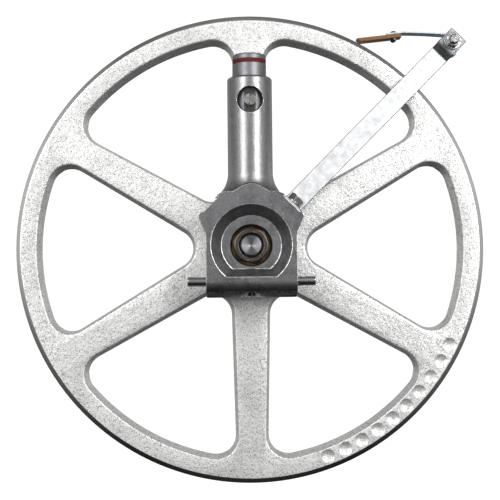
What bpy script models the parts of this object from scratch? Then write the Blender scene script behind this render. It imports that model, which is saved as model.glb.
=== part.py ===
"""Upper (idler) wheel assembly of a meat band saw: wheel, hub bearings, yoke, tension plunger and scraper.

Metres, +Z up. The wheel turns about the Y axis. The origin is the centre of the spindle's bare rear end,
-Y points away from the wheel, towards whoever looks at the yoke, and the tension post points up.
"""

import math

import bmesh
import bpy
from mathutils import Matrix, Vector

MM = 0.001
GAP = 0.2 * MM  # between pieces that rest on each other
RUN = 0.1 * MM  # between pieces that turn or slide in each other

# Wheel: 16 in over the tread
TREAD_R = 203.2 * MM
RIM_BEVEL = 4.0 * MM
RIM_INNER_R = 184.5 * MM
WHEEL_NEAR_Y = 38.0 * MM
RIM_WIDTH = 23.0 * MM
SPOKE_DEPTH = 16.0 * MM
SPOKES = 6
SPOKE_HALF_AT_HUB = 14.9 * MM
SPOKE_HALF_AT_RIM = 12.0 * MM
WINDOW_INNER_ROUND = 18.5 * MM
WINDOW_OUTER_ROUND = 19.0 * MM
HUB_R = 36.0 * MM
HUB_NEAR_Y = 36.0 * MM
HUB_FAR_Y = 75.0 * MM

# Balance drillings on the rim's near face
DIMPLES = 10
DIMPLE_R = 6.0 * MM
DIMPLE_CIRCLE_R = 192.0 * MM
DIMPLE_FIRST = math.radians(-70.2)
DIMPLE_STEP = math.radians(4.84)
DRILL_POINT = math.radians(118)

# Bearings: 1 in bore, 2 in outside, 1/2 in wide
BEARING_BORE_R = 12.7 * MM
BEARING_OUTER_R = 25.4 * MM
BEARING_WIDTH = 12.7 * MM
BALL_R = 3.97 * MM
BALL_CIRCLE_R = 19.05 * MM
BALLS = 9
REAR_BEARING_Y = 38.0 * MM
FRONT_BEARING_Y = 59.3 * MM

# Yoke casting
YOKE_NEAR_Y = -8.0 * MM
YOKE_FAR_Y = 33.0 * MM
YOKE_HALF = 38.1 * MM
YOKE_BOTTOM_Z = -43.5 * MM
EAR_TIP = (44.3 * MM, 23.4 * MM)
FACET_S = 47.8 * MM  # the machined 45 degree seats, from the wheel's axis
FACET_HALF = 9.5 * MM
POST_R = 19.05 * MM
POST_Y = 13.6 * MM
POST_TOP_Z = 143.0 * MM
FLARE_R = 25.0 * MM
FLARE_TOP_Z = 62.0 * MM
RECESS_R = 33.8 * MM
RECESS_FLOOR_R = 25.2 * MM
RECESS_FLAT_Z = -26.5 * MM
RECESS_DEPTH = 9.2 * MM
NUT_WELL_R = 17.8 * MM
NUT_WELL_FLOOR_Y = 15.1 * MM

# Hinge pin across the foot of the yoke
PIN_R = 4.0 * MM
PIN_Y = 5.5 * MM
PIN_Z = -30.0 * MM
PIN_HALF_LENGTH = 53.8 * MM
BARREL_R = 13.5 * MM

# Tension plunger in the post
PLUNGER_R = 14.3 * MM
PLUNGER_TOP_Z = 161.5 * MM
PLUNGER_FOOT_Z = 104.0 * MM
POST_BORE_R = PLUNGER_R + RUN
POST_BORE_FLOOR_Z = 64.0 * MM
STOP_WINDOW_R = 11.0 * MM
STOP_SCREW_Z = 122.0 * MM
RED_RING_Z = 155.0 * MM

# Spindle and its nut
SPINDLE_THREAD_R = 9.525 * MM
NUT_FLATS = 28.575 * MM
NUT_HEIGHT = 10.6 * MM

# Scraper arm, bolted to the right-hand facet
ARM_ANGLE = math.radians(45)
ARM_WIDTH = 17.5 * MM
ARM_THICK = 3.0 * MM
ARM_Y = 32.6 * MM  # middle of the bar's thickness
ARM_BOLT_Y = 18.0 * MM
ARM_END_S = 258.4 * MM
JOGGLE_S = 241.3 * MM
JOGGLE_DEPTH = 5.0 * MM
PIVOT_S = 250.0 * MM

# Scraper: a leaf with an eye, and a pad that lies along the tread
EYE_R = 10.0 * MM
LEAF_THICK = 1.3 * MM
LEAF_NEAR_Y = 40.0 * MM
LEAF_WIDTH = 12.0 * MM
PAD_LENGTH = 39.5 * MM
PAD_THICK = 3.2 * MM
PAD_ANGLE = math.radians(6.0)
PAD_TOP_RIGHT = (134.4 * MM, 187.3 * MM)

ALONG_X = Matrix.Rotation(math.radians(90), 4, "Y")
ALONG_Y = Matrix.Rotation(math.radians(-90), 4, "X")
ALONG_ARM = Matrix.Rotation(ARM_ANGLE, 4, "Y")


# ---------------------------------------------------------------- scene, materials, helpers


def clear_scene():
    for obj in list(bpy.data.objects):
        bpy.data.objects.remove(obj, do_unlink=True)


def new_collection(name, cutters=False):
    collection = bpy.data.collections.new(name)
    bpy.context.scene.collection.children.link(collection)
    collection.hide_render = cutters
    return collection


def new_material(name, color, roughness, metallic):
    material = bpy.data.materials.new(name)
    material.use_nodes = True
    shader = material.node_tree.nodes["Principled BSDF"]
    shader.inputs["Base Color"].default_value = (*color, 1)
    shader.inputs["Roughness"].default_value = roughness
    shader.inputs["Metallic"].default_value = metallic
    material.diffuse_color = (*color, 1)
    return material


def to_object(name, mesh, material):
    """A named piece of the model, or a cutter where there is no material."""
    obj = bpy.data.objects.new(name, mesh)
    if material is None:
        cutters.objects.link(obj)
        obj.hide_render = True
        obj.display_type = "WIRE"
    else:
        parts.objects.link(obj)
        mesh.materials.append(material)
    return obj


def boolean(obj, other, operation="DIFFERENCE"):
    modifier = obj.modifiers.new(other.name, "BOOLEAN")
    modifier.operation = operation
    modifier.solver = "EXACT"
    modifier.object = other
    return obj


def smooth(obj, angle=30):
    obj.data.shade_smooth()
    obj.data.set_sharp_from_angle(angle=math.radians(angle))
    return obj


def from_bmesh(name, bm, material):
    bmesh.ops.recalc_face_normals(bm, faces=bm.faces)
    mesh = bpy.data.meshes.new(name)
    bm.to_mesh(mesh)
    bm.free()
    return to_object(name, mesh, material)


def turned(name, profile, material, matrix, segments=36):
    """A solid of revolution. The profile is (radius, place along the axis), from the top down its outer side.
    One that starts and ends on the axis is solid, and any other is closed into a ring."""
    bm = bmesh.new()
    verts = [bm.verts.new((radius, 0, along)) for radius, along in profile]
    for first, second in zip(verts, verts[1:]):
        bm.edges.new((first, second))
    if profile[0][0] > 0:
        bm.edges.new((verts[-1], verts[0]))
    mesh = bpy.data.meshes.new(name)
    bm.to_mesh(mesh)
    bm.free()
    obj = to_object(name, mesh, material)
    obj.matrix_world = matrix
    screw = obj.modifiers.new("Turn", "SCREW")
    screw.axis = "Z"
    screw.steps = segments
    screw.render_steps = segments
    screw.use_merge_vertices = True
    screw.merge_threshold = 1e-6
    screw.use_smooth_shade = True
    return obj


def ring(name, inner, outer, low, high, material, matrix, segments=32):
    profile = [(inner, high), (outer, high), (outer, low), (inner, low)]
    return turned(name, profile, material, matrix, segments)


def cylinder(name, radius, low, high, material, matrix, segments=32):
    """A round bar along the matrix's own Z axis, from low to high."""
    bm = bmesh.new()
    place = Matrix.Translation((0, 0, (low + high) / 2))
    bmesh.ops.create_cone(
        bm, cap_ends=True, segments=segments, radius1=radius, radius2=radius, depth=high - low, matrix=place
    )
    obj = from_bmesh(name, bm, material)
    obj.matrix_world = matrix
    return smooth(obj)


def prism(name, outline, low, high, material, matrix):
    """The outline (x, y) pushed from low to high along the matrix's own Z axis."""
    bm = bmesh.new()
    face = bm.faces.new([bm.verts.new((x, y, low)) for x, y in outline])
    pushed = bmesh.ops.extrude_face_region(bm, geom=[face])
    moved = [item for item in pushed["geom"] if isinstance(item, bmesh.types.BMVert)]
    bmesh.ops.translate(bm, verts=moved, vec=(0, 0, high - low))
    obj = from_bmesh(name, bm, material)
    obj.matrix_world = matrix
    return obj


def arc(centre, radius, start, end, steps):
    """Points on an arc, angles in radians."""
    points = []
    for i in range(steps + 1):
        angle = start + (end - start) * i / steps
        points.append((centre[0] + radius * math.cos(angle), centre[1] + radius * math.sin(angle)))
    return points


def hexagon(flats, turn=0.0):
    corner = flats / math.sqrt(3)
    return [
        (corner * math.cos(turn + math.radians(60 * i)), corner * math.sin(turn + math.radians(60 * i)))
        for i in range(6)
    ]


def nut(name, flats, height, bore, material, matrix, turn=0.0):
    body = prism(name, hexagon(flats, turn), 0, height, material, matrix)
    return boolean(body, cylinder(name + "_bore", bore, -height, 2 * height, None, matrix))


def hex_screw(name, flats, head, shank_r, shank, material, matrix, turn=0.0):
    """The head stands on the matrix's own XY plane, and the shank runs down its Z axis."""
    screw = prism(name, hexagon(flats, turn), 0, head, material, matrix)
    return boolean(screw, cylinder(name + "_shank", shank_r, -shank, head / 2, None, matrix, 24), "UNION")


def ribbon(name, path, width, thickness, material, matrix):
    """A bent strip: the path is (x, y), the width runs along the matrix's own Z axis from 0."""
    bm = bmesh.new()
    near = [bm.verts.new((x, y, 0)) for x, y in path]
    far = [bm.verts.new((x, y, width)) for x, y in path]
    for i in range(len(path) - 1):
        bm.faces.new((near[i], near[i + 1], far[i + 1], far[i]))
    mesh = bpy.data.meshes.new(name)
    bm.to_mesh(mesh)
    bm.free()
    obj = to_object(name, mesh, material)
    obj.matrix_world = matrix
    solidify = obj.modifiers.new("Thickness", "SOLIDIFY")
    solidify.thickness = thickness
    solidify.offset = 0
    solidify.use_even_offset = True
    return obj


def coil(name, points, wire_r, material, matrix):
    """A closed round wire along the points."""
    curve = bpy.data.curves.new(name + "_line", "CURVE")
    curve.dimensions = "3D"
    curve.bevel_depth = wire_r
    curve.bevel_resolution = 2
    curve.use_fill_caps = True
    spline = curve.splines.new("POLY")
    spline.points.add(len(points) - 1)
    for point, place in zip(spline.points, points):
        point.co = (*place, 1)
    line = bpy.data.objects.new(name + "_line", curve)
    parts.objects.link(line)
    graph = bpy.context.evaluated_depsgraph_get()
    mesh = bpy.data.meshes.new_from_object(line.evaluated_get(graph))
    bpy.data.objects.remove(line, do_unlink=True)
    bm = bmesh.new()
    bm.from_mesh(mesh)
    bmesh.ops.remove_doubles(bm, verts=bm.verts, dist=1e-6)
    bpy.data.meshes.remove(mesh)
    obj = from_bmesh(name, bm, material)
    obj.matrix_world = matrix
    obj.data.shade_smooth()
    return obj


def on_axis(y=0.0, x=0.0, z=0.0):
    """A matrix whose own Z axis runs along +Y, from the given place."""
    return Matrix.Translation((x, y, z)) @ ALONG_Y


def upright(z=0.0):
    """A matrix on the post's axis."""
    return Matrix.Translation((0, POST_Y, z))


def on_arm(s=0.0, y=0.0):
    """A matrix whose own Z axis runs outward along the scraper arm."""
    return Matrix.Translation((0, y, 0)) @ ALONG_ARM @ Matrix.Translation((0, 0, s))


# ---------------------------------------------------------------- wheel and hub


def spoke_edge(direction, side):
    """The straight edge of a spoke as (point, unit vector along it), on one side of the spoke's middle."""
    along = Vector((math.cos(direction), math.sin(direction)))
    across = Vector((-along.y, along.x)) * side
    inner = along * 60 * MM + across * SPOKE_HALF_AT_HUB
    outer = along * RIM_INNER_R + across * SPOKE_HALF_AT_RIM
    return inner, (outer - inner).normalized()


def window_outline(middle):
    """The hole between two spokes, with its inner end and its two outer corners rounded."""
    half = math.pi / SPOKES
    low_point, low_way = spoke_edge(middle - half, 1)
    normal = Vector((-low_way.y, low_way.x))
    along = Vector((math.cos(middle), math.sin(middle)))
    # centre of the inner rounding: on the window's middle line, its own radius from the spoke edge
    reach = (WINDOW_INNER_ROUND + normal.dot(low_point)) / normal.dot(along)
    inner_centre = along * reach
    # centre of an outer corner: its radius from the spoke edge and from the rim
    start = low_point + normal * WINDOW_OUTER_ROUND
    distance = RIM_INNER_R - WINDOW_OUTER_ROUND
    b = start.dot(low_way)
    step = -b + math.sqrt(b * b - start.dot(start) + distance * distance)
    corner = start + low_way * step
    # angles counted from the window's middle line, which mirrors one half onto the other
    edge_turn = (math.atan2(-normal.y, -normal.x) - middle) % math.tau - math.tau
    rim_turn = (math.atan2(corner.y, corner.x) - middle) % math.tau - math.tau
    edge, rim = middle + edge_turn, middle + rim_turn
    outline = arc(inner_centre, WINDOW_INNER_ROUND, middle - edge_turn, edge + math.tau, 10)
    outline += arc(corner, WINDOW_OUTER_ROUND, edge, rim, 6)
    outline += arc((0, 0), RIM_INNER_R, rim, middle - rim_turn, 12)[1:-1]
    outline += arc(reflect(corner, middle), WINDOW_OUTER_ROUND, middle - rim_turn, middle - edge_turn, 6)
    return outline


def reflect(point, middle):
    """The point mirrored in the line through the axis at the angle middle."""
    angle = 2 * middle - math.atan2(point[1], point[0])
    radius = math.hypot(point[0], point[1])
    return radius * math.cos(angle), radius * math.sin(angle)


def in_wheel_plane(x, z):
    """The outline plane of on_axis has its second axis pointing down, so Z changes sign."""
    return x, -z


def make_wheel():
    rim_far = WHEEL_NEAR_Y + RIM_WIDTH
    web_far = WHEEL_NEAR_Y + SPOKE_DEPTH
    seat_r = BEARING_OUTER_R + RUN
    lip_r = 22.5 * MM
    profile = [
        (seat_r, HUB_FAR_Y),
        (HUB_R - 3 * MM, HUB_FAR_Y),
        (HUB_R, web_far),
        (RIM_INNER_R + 1.5 * MM, web_far),
        (RIM_INNER_R + 2.5 * MM, rim_far),
        (TREAD_R - RIM_BEVEL, rim_far),
        (TREAD_R, rim_far - RIM_BEVEL),
        (TREAD_R, WHEEL_NEAR_Y + RIM_BEVEL),
        (TREAD_R - RIM_BEVEL, WHEEL_NEAR_Y),
        (HUB_R, WHEEL_NEAR_Y),
        (HUB_R, HUB_NEAR_Y),
        (seat_r, HUB_NEAR_Y),
        (seat_r, REAR_BEARING_Y + BEARING_WIDTH + GAP),
        (lip_r, REAR_BEARING_Y + BEARING_WIDTH + GAP),
        (lip_r, FRONT_BEARING_Y - GAP),
        (seat_r, FRONT_BEARING_Y - GAP),
        (seat_r, FRONT_BEARING_Y + BEARING_WIDTH + GAP),
        (seat_r + 1.6 * MM, FRONT_BEARING_Y + BEARING_WIDTH + GAP),
        (seat_r + 1.6 * MM, FRONT_BEARING_Y + BEARING_WIDTH + GAP + 1.7 * MM),
        (seat_r, FRONT_BEARING_Y + BEARING_WIDTH + GAP + 1.7 * MM),
    ]
    wheel = turned("wheel", profile, cast_tinned, on_axis(), 84)
    for i in range(SPOKES):
        outline = [in_wheel_plane(x, z) for x, z in window_outline(math.tau * i / SPOKES)]
        boolean(wheel, prism(f"window_{i + 1}", outline, 30 * MM, web_far + 5 * MM, None, on_axis()))
    # each drill point starts a fifth of its depth in front of the face
    depth = 1.2 * DIMPLE_R / math.tan(DRILL_POINT / 2)
    bm = bmesh.new()
    for i in range(DIMPLES):
        angle = DIMPLE_FIRST + i * DIMPLE_STEP
        x, z = DIMPLE_CIRCLE_R * math.cos(angle), DIMPLE_CIRCLE_R * math.sin(angle)
        place = Matrix.Translation((x, -z, WHEEL_NEAR_Y + depth * (0.5 - 1 / 6)))
        bmesh.ops.create_cone(
            bm, cap_ends=True, segments=14, radius1=1.2 * DIMPLE_R, radius2=0, depth=depth, matrix=place
        )
    drill = from_bmesh("balance_drill", bm, None)
    drill.matrix_world = on_axis()
    boolean(wheel, drill)


def make_bearing(prefix, y):
    """Grooved outer and inner rings, and the balls in one ring-shaped cage."""
    place = on_axis(y)
    width = BEARING_WIDTH
    middle = width / 2
    groove = BALL_R + RUN
    outer_land, inner_land = 21.7 * MM, 16.4 * MM
    spread = math.acos((outer_land - BALL_CIRCLE_R) / groove)
    hollow = arc((BALL_CIRCLE_R, middle), groove, -spread, spread, 4)
    outer = [(outer_land, width), (BEARING_OUTER_R, width), (BEARING_OUTER_R, 0), (outer_land, 0)] + hollow
    turned(prefix + "_bearing_outer_ring", outer, bearing_steel, place)
    bore_r = BEARING_BORE_R + RUN
    hollow = arc((BALL_CIRCLE_R, middle), groove, math.pi - spread, math.pi + spread, 4)
    inner = [(bore_r, width), (inner_land, width)] + hollow + [(inner_land, 0), (bore_r, 0)]
    turned(prefix + "_bearing_inner_ring", inner, bearing_steel, place)
    half = 1.4 * MM
    cage_ring = [
        (BALL_CIRCLE_R - half, middle + half),
        (BALL_CIRCLE_R + half, middle + half),
        (BALL_CIRCLE_R + half, middle - half),
        (BALL_CIRCLE_R - half, middle - half),
    ]
    cage = turned(prefix + "_bearing_balls_and_cage", cage_ring, bearing_steel, place, 27)
    bm = bmesh.new()
    for i in range(BALLS):
        angle = math.tau * i / BALLS
        centre = (BALL_CIRCLE_R * math.cos(angle), BALL_CIRCLE_R * math.sin(angle), middle)
        bmesh.ops.create_icosphere(bm, subdivisions=2, radius=BALL_R, matrix=Matrix.Translation(centre))
    balls = from_bmesh(prefix + "_balls", bm, None)
    balls.matrix_world = place
    boolean(cage, balls, "UNION")


def make_hub_pieces():
    make_bearing("rear", REAR_BEARING_Y)
    make_bearing("front", FRONT_BEARING_Y)
    between = REAR_BEARING_Y + BEARING_WIDTH + GAP
    ring("bearing_spacer", BEARING_BORE_R + RUN, 15.8 * MM, between, FRONT_BEARING_Y - GAP, plated, on_axis())
    ring("rear_grease_shield", 18.4 * MM, BEARING_OUTER_R - RUN, 36.3 * MM, 37.7 * MM, black_oxide, on_axis())
    front = FRONT_BEARING_Y + BEARING_WIDTH
    clip = ring(
        "bearing_retaining_ring", 22.6 * MM, BEARING_OUTER_R + 1.4 * MM, front + 0.35 * MM, front + 1.65 * MM,
        black_oxide, on_axis(),
    )
    slot = [(-3 * MM, 15 * MM), (3 * MM, 15 * MM), (3 * MM, 30 * MM), (-3 * MM, 30 * MM)]
    boolean(clip, prism("clip_gap", slot, front - 3 * MM, front + 5 * MM, None, on_axis()))
    wall = 1.2 * MM
    mouth = HUB_FAR_Y - 0.6 * MM
    top = HUB_FAR_Y + 11 * MM
    cap_r = BEARING_OUTER_R - GAP
    cap = [
        (0, top),
        (14 * MM, top - 0.8 * MM),
        (21 * MM, top - 3.5 * MM),
        (cap_r, top - 8 * MM),
        (cap_r + 3.5 * MM, HUB_FAR_Y + GAP + wall),
        (cap_r + 3.5 * MM, HUB_FAR_Y + GAP),
        (cap_r, HUB_FAR_Y + GAP),
        (cap_r, mouth),
        (cap_r - wall, mouth),
        (cap_r - wall, top - 9 * MM),
        (20.5 * MM, top - 4.7 * MM),
        (13.8 * MM, top - 2 * MM),
        (0, top - wall),
    ]
    turned("hub_cap", cap, plated, on_axis())


# ---------------------------------------------------------------- yoke and what it holds


def yoke_outline():
    """The yoke's front view: foot, sides, ears with their 45 degree seats, and the flare up to the post."""
    half = FACET_HALF
    root = math.sqrt(0.5)
    low = ((FACET_S + half) * root, (FACET_S - half) * root)
    high = (low[1], low[0])
    step = 2.0 * MM * root
    right = [
        (YOKE_HALF, YOKE_BOTTOM_Z),
        (YOKE_HALF, 10 * MM),
        EAR_TIP,
        (low[0] + step, low[1] + step),
        low,
        high,
        (high[0] + step, high[1] + step),
    ]
    flare_centre = (POST_R - 0.3 * MM + FLARE_R, FLARE_TOP_Z)
    right += arc(flare_centre, FLARE_R, math.radians(180 + 50), math.radians(180), 6)
    left = [(-x, z) for x, z in reversed(right)]
    return right + left


def yoke_side():
    """The yoke's side view as (y, z): flat front face, rounded lower front edge, flat back."""
    outline = arc((PIN_Y, PIN_Z), BARREL_R, math.radians(180), math.radians(270), 8)
    outline += [
        (YOKE_FAR_Y, YOKE_BOTTOM_Z),
        (YOKE_FAR_Y, FLARE_TOP_Z - 8 * MM),
        (POST_Y + POST_R - 0.3 * MM, FLARE_TOP_Z + 1 * MM),
        (POST_Y - POST_R + 0.3 * MM, FLARE_TOP_Z + 1 * MM),
        (YOKE_NEAR_Y, 51 * MM),
    ]
    return outline


def make_yoke():
    front = [in_wheel_plane(x, z) for x, z in yoke_outline()]
    yoke = prism("yoke_casting", front, YOKE_NEAR_Y - MM, YOKE_FAR_Y + MM, cast_iron, on_axis())
    # the own axes of this one are Y, Z and X
    sideways = Matrix(((0, 0, 1, 0), (1, 0, 0, 0), (0, 1, 0, 0), (0, 0, 0, 1)))
    side = prism("yoke_side_view", yoke_side(), -60 * MM, 60 * MM, None, sideways)
    boolean(yoke, side, "INTERSECT")
    round_r = 2.5 * MM
    top = arc((POST_R - round_r, POST_TOP_Z - round_r), round_r, math.radians(90), 0, 3)
    post = turned("post", [(0, POST_TOP_Z)] + top + [(POST_R, 50 * MM), (0, 50 * MM)], None, upright(), 48)
    boolean(yoke, post, "UNION")

    bm = bmesh.new()
    over = 2.0 * MM
    slope = (RECESS_R - RECESS_FLOOR_R) / RECESS_DEPTH
    place = Matrix.Translation((0, 0, YOKE_NEAR_Y + (RECESS_DEPTH - over) / 2))
    bmesh.ops.create_cone(
        bm, cap_ends=True, segments=48, radius1=RECESS_R + slope * over, radius2=RECESS_FLOOR_R,
        depth=RECESS_DEPTH + over, matrix=place,
    )
    # the flat side of the recess slopes in as the round side does
    flat_at_floor = RECESS_FLAT_Z * RECESS_FLOOR_R / RECESS_R
    lean = (flat_at_floor - RECESS_FLAT_Z) / RECESS_DEPTH
    cut = bmesh.ops.bisect_plane(
        bm, geom=bm.verts[:] + bm.edges[:] + bm.faces[:], plane_co=(0, -RECESS_FLAT_Z, YOKE_NEAR_Y),
        plane_no=(0, 1, lean), clear_outer=True,
    )
    edges = [item for item in cut["geom_cut"] if isinstance(item, bmesh.types.BMEdge)]
    bmesh.ops.contextual_create(bm, geom=edges)
    recess = from_bmesh("recess", bm, None)
    recess.matrix_world = on_axis()
    boolean(yoke, recess)

    boolean(yoke, cylinder("nut_well", NUT_WELL_R, -4 * MM, NUT_WELL_FLOOR_Y, None, on_axis(), 48))
    boolean(yoke, cylinder("spindle_bore", BEARING_BORE_R + RUN, 5 * MM, 45 * MM, None, on_axis(), 36))
    pin_axis = Matrix.Translation((0, PIN_Y, PIN_Z)) @ ALONG_X
    boolean(yoke, cylinder("pin_bore", PIN_R + RUN, -60 * MM, 60 * MM, None, pin_axis, 24))
    foot = Matrix.Translation((0, PIN_Y, 0))
    boolean(yoke, cylinder("grease_spotface", 9.75 * MM, -60 * MM, -37.8 * MM, None, foot, 32))
    boolean(yoke, cylinder("grease_hole", 3.2 * MM, -40 * MM, PIN_Z, None, foot, 16))
    boolean(yoke, cylinder("post_bore", POST_BORE_R, POST_BORE_FLOOR_Z, 150 * MM, None, upright(), 36))
    window = on_axis(0, 0, STOP_SCREW_Z)
    boolean(yoke, cylinder("stop_window", STOP_WINDOW_R, -15 * MM, 9 * MM, None, window, 40))
    for name, side_of in (("right_seat_hole", 1), ("left_seat_hole", -1)):
        lean_out = Matrix.Rotation(side_of * math.radians(45), 4, "Y")
        seat = Matrix.Translation((0, ARM_BOLT_Y, 0)) @ lean_out
        boolean(yoke, cylinder(name, 3.6 * MM, 34 * MM, 60 * MM, None, seat, 16))
    return yoke


def make_hinge_pin():
    end, chamfer = PIN_HALF_LENGTH, 0.8 * MM
    profile = [(0, end), (PIN_R - chamfer, end), (PIN_R, end - chamfer)]
    profile += [(radius, -along) for radius, along in reversed(profile)]
    pin_axis = Matrix.Translation((0, PIN_Y, PIN_Z)) @ ALONG_X
    turned("hinge_pin", profile, polished, pin_axis, 24)
    foot = Matrix.Translation((0, PIN_Y, 0))
    plug = cylinder("hinge_grease_plug", 3.0 * MM, -42.4 * MM, -34.8 * MM, black_oxide, foot, 16)
    boolean(plug, prism("plug_socket", hexagon(3.2 * MM), -45 * MM, -39.5 * MM, None, foot))


def make_spindle():
    shoulder = NUT_WELL_FLOOR_Y + 0.6 * MM
    collar_low, collar_high = YOKE_FAR_Y + GAP, REAR_BEARING_Y - GAP
    end = FRONT_BEARING_Y + BEARING_WIDTH - 0.4 * MM
    thread_r = SPINDLE_THREAD_R
    spindle = turned(
        "spindle",
        [
            (0, end),
            (BEARING_BORE_R - 0.8 * MM, end),
            (BEARING_BORE_R, end - 0.8 * MM),
            (BEARING_BORE_R, collar_high),
            (17.6 * MM, collar_high),
            (17.6 * MM, collar_low),
            (BEARING_BORE_R, collar_low),
            (BEARING_BORE_R, shoulder),
            (thread_r, shoulder),
            (thread_r, 0.9 * MM),
            (thread_r - 0.9 * MM, 0),
            (0, 0),
        ],
        turned_steel,
        on_axis(),
    )
    boolean(spindle, cylinder("spindle_tap", 4.1 * MM, end - 26 * MM, end + MM, None, on_axis(), 16))
    nut("spindle_nut", NUT_FLATS, NUT_HEIGHT, thread_r + RUN, brown_oxide, on_axis(1.7 * MM), math.radians(12))
    bevel = bpy.data.objects["spindle_nut"].modifiers.new("Edges", "BEVEL")
    bevel.width = 0.5 * MM
    bevel.limit_method = "ANGLE"
    ring("spindle_washer", thread_r + RUN, 17.2 * MM, 12.6 * MM, 14.9 * MM, yellow_zinc, on_axis())
    ring("spindle_end_washer", 4.2 * MM, 15.6 * MM, end + 0.6 * MM, end + 3 * MM, plated, on_axis())
    head = on_axis(end + 3.2 * MM)
    hex_screw("spindle_end_screw", 12.7 * MM, 5 * MM, 3.9 * MM, 22 * MM, plated, head)


def make_plunger():
    top, foot = PLUNGER_TOP_Z, PLUNGER_FOOT_Z
    low, high = RED_RING_Z - 1.5 * MM, RED_RING_Z + 1.5 * MM
    groove_r = PLUNGER_R - 1.6 * MM
    plunger = turned(
        "tension_plunger",
        [
            (0, top),
            (PLUNGER_R - 1.2 * MM, top),
            (PLUNGER_R, top - 1.2 * MM),
            (PLUNGER_R, high),
            (groove_r, high),
            (groove_r, low),
            (PLUNGER_R, low),
            (PLUNGER_R, foot + 1 * MM),
            (PLUNGER_R - 1 * MM, foot),
            (0, foot),
        ],
        ground_steel,
        upright(),
    )
    head_y = POST_Y - PLUNGER_R - 4.4 * MM
    tap = on_axis(head_y, 0, STOP_SCREW_Z)
    boolean(plunger, cylinder("stop_screw_tap", 4.1 * MM, -2 * MM, 22 * MM, None, tap, 16))
    spot = 1.0 * MM  # depth of the flat seat milled into the plunger
    boolean(plunger, cylinder("stop_screw_seat", 9.4 * MM, -2 * MM, 4.4 * MM + spot, None, tap, 32))
    ring(
        "tension_indicator_ring", groove_r + RUN, PLUNGER_R + 0.05 * MM, low + GAP, high - GAP, red_enamel, upright()
    )
    outward = Matrix.Translation((0, head_y + 4.4 * MM + spot - GAP, STOP_SCREW_Z))
    outward = outward @ Matrix.Rotation(math.radians(90), 4, "X")
    screw = hex_screw("plunger_stop_screw", 12.7 * MM, 4.8 * MM, 3.9 * MM, 15 * MM, plated, outward, math.radians(6))
    slot = [(-9 * MM, -0.7 * MM), (9 * MM, -0.7 * MM), (9 * MM, 0.7 * MM), (-9 * MM, 0.7 * MM)]
    lean = outward @ Matrix.Rotation(math.radians(80), 4, "Z")
    boolean(screw, prism("stop_screw_slot", slot, 3.6 * MM, 8 * MM, None, lean))


def make_tension_spring():
    """A compression spring with flat first and last turns, on a seat ring at the foot of the bore."""
    seat_top = POST_BORE_FLOOR_Z + 2.4 * MM
    wire_r = 2.0 * MM
    ring("spring_seat", 5 * MM, POST_BORE_R - 0.4 * MM, POST_BORE_FLOOR_Z + GAP, seat_top, plated, upright())
    low = seat_top + wire_r + GAP
    high = PLUNGER_FOOT_Z - wire_r - GAP
    turns, per_turn, radius = 5.5, 12, 10.6 * MM
    flat = 0.5  # of a turn, at each end
    points = []
    for i in range(int(turns * per_turn) + 1):
        turn = i / per_turn
        angle = math.tau * (turn + 0.25)
        rise = max(0.0, min(1.0, (turn - flat) / (turns - 2 * flat)))
        lift = low + (high - low) * rise
        points.append((radius * math.cos(angle), radius * math.sin(angle), lift))
    coil("tension_spring", points, wire_r, spring_steel, upright())


# ---------------------------------------------------------------- scraper arm and scraper


def arm_path():
    """The bar's middle line as (s, y): foot, bend, bar, joggle and tab."""
    foot_s = FACET_S + 0.3 * MM + ARM_THICK / 2
    bend = 4.5 * MM
    tab_y = ARM_Y - JOGGLE_DEPTH
    path = [(foot_s, 6 * MM)]
    path += arc((foot_s + bend, ARM_Y - bend), bend, math.radians(180), math.radians(90), 4)
    path += [(JOGGLE_S - 7 * MM, ARM_Y), (JOGGLE_S - 5 * MM, ARM_Y - 0.6 * MM)]
    path += [(JOGGLE_S - 1 * MM, tab_y + 0.6 * MM), (JOGGLE_S + 1 * MM, tab_y), (ARM_END_S, tab_y)]
    return path


def make_arm():
    # own X runs outward along the arm, own Y along +Y, and own Z across the bar
    out = Vector((math.sin(ARM_ANGLE), 0, math.cos(ARM_ANGLE)))
    away = Vector((0, 1, 0))
    across = out.cross(away)
    frame = Matrix((out, away, across)).transposed().to_4x4()
    centred = frame @ Matrix.Translation((0, 0, -ARM_WIDTH / 2))
    arm = ribbon("scraper_arm", arm_path(), ARM_WIDTH, ARM_THICK, bar_zinc, centred)
    boolean(arm, cylinder("arm_bolt_hole", 4.2 * MM, 40 * MM, 62 * MM, None, on_arm(0, ARM_BOLT_Y), 24))
    pivot = on_arm(PIVOT_S).translation
    boolean(arm, cylinder("arm_pivot_hole", 4.1 * MM, 0, 35 * MM, None, on_axis(0, pivot.x, pivot.z), 24))
    top_of_foot = FACET_S + 0.3 * MM + ARM_THICK
    washer_low = top_of_foot + GAP
    washer = ring(
        "arm_lock_washer", 4.2 * MM, 7.0 * MM, washer_low, washer_low + 1.8 * MM, plated, on_arm(0, ARM_BOLT_Y), 32
    )
    split = [(3 * MM, -0.5 * MM), (9 * MM, -0.5 * MM), (9 * MM, 0.5 * MM), (3 * MM, 0.5 * MM)]
    boolean(washer, prism("washer_split", split, 50 * MM, 56 * MM, None, on_arm(0, ARM_BOLT_Y)))
    head_low = washer_low + 1.8 * MM + GAP
    place = on_arm(head_low, ARM_BOLT_Y)
    hex_screw("arm_bolt", 12.7 * MM, 4.9 * MM, 3.5 * MM, 18 * MM, plated, place, math.radians(18))
    return pivot


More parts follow.
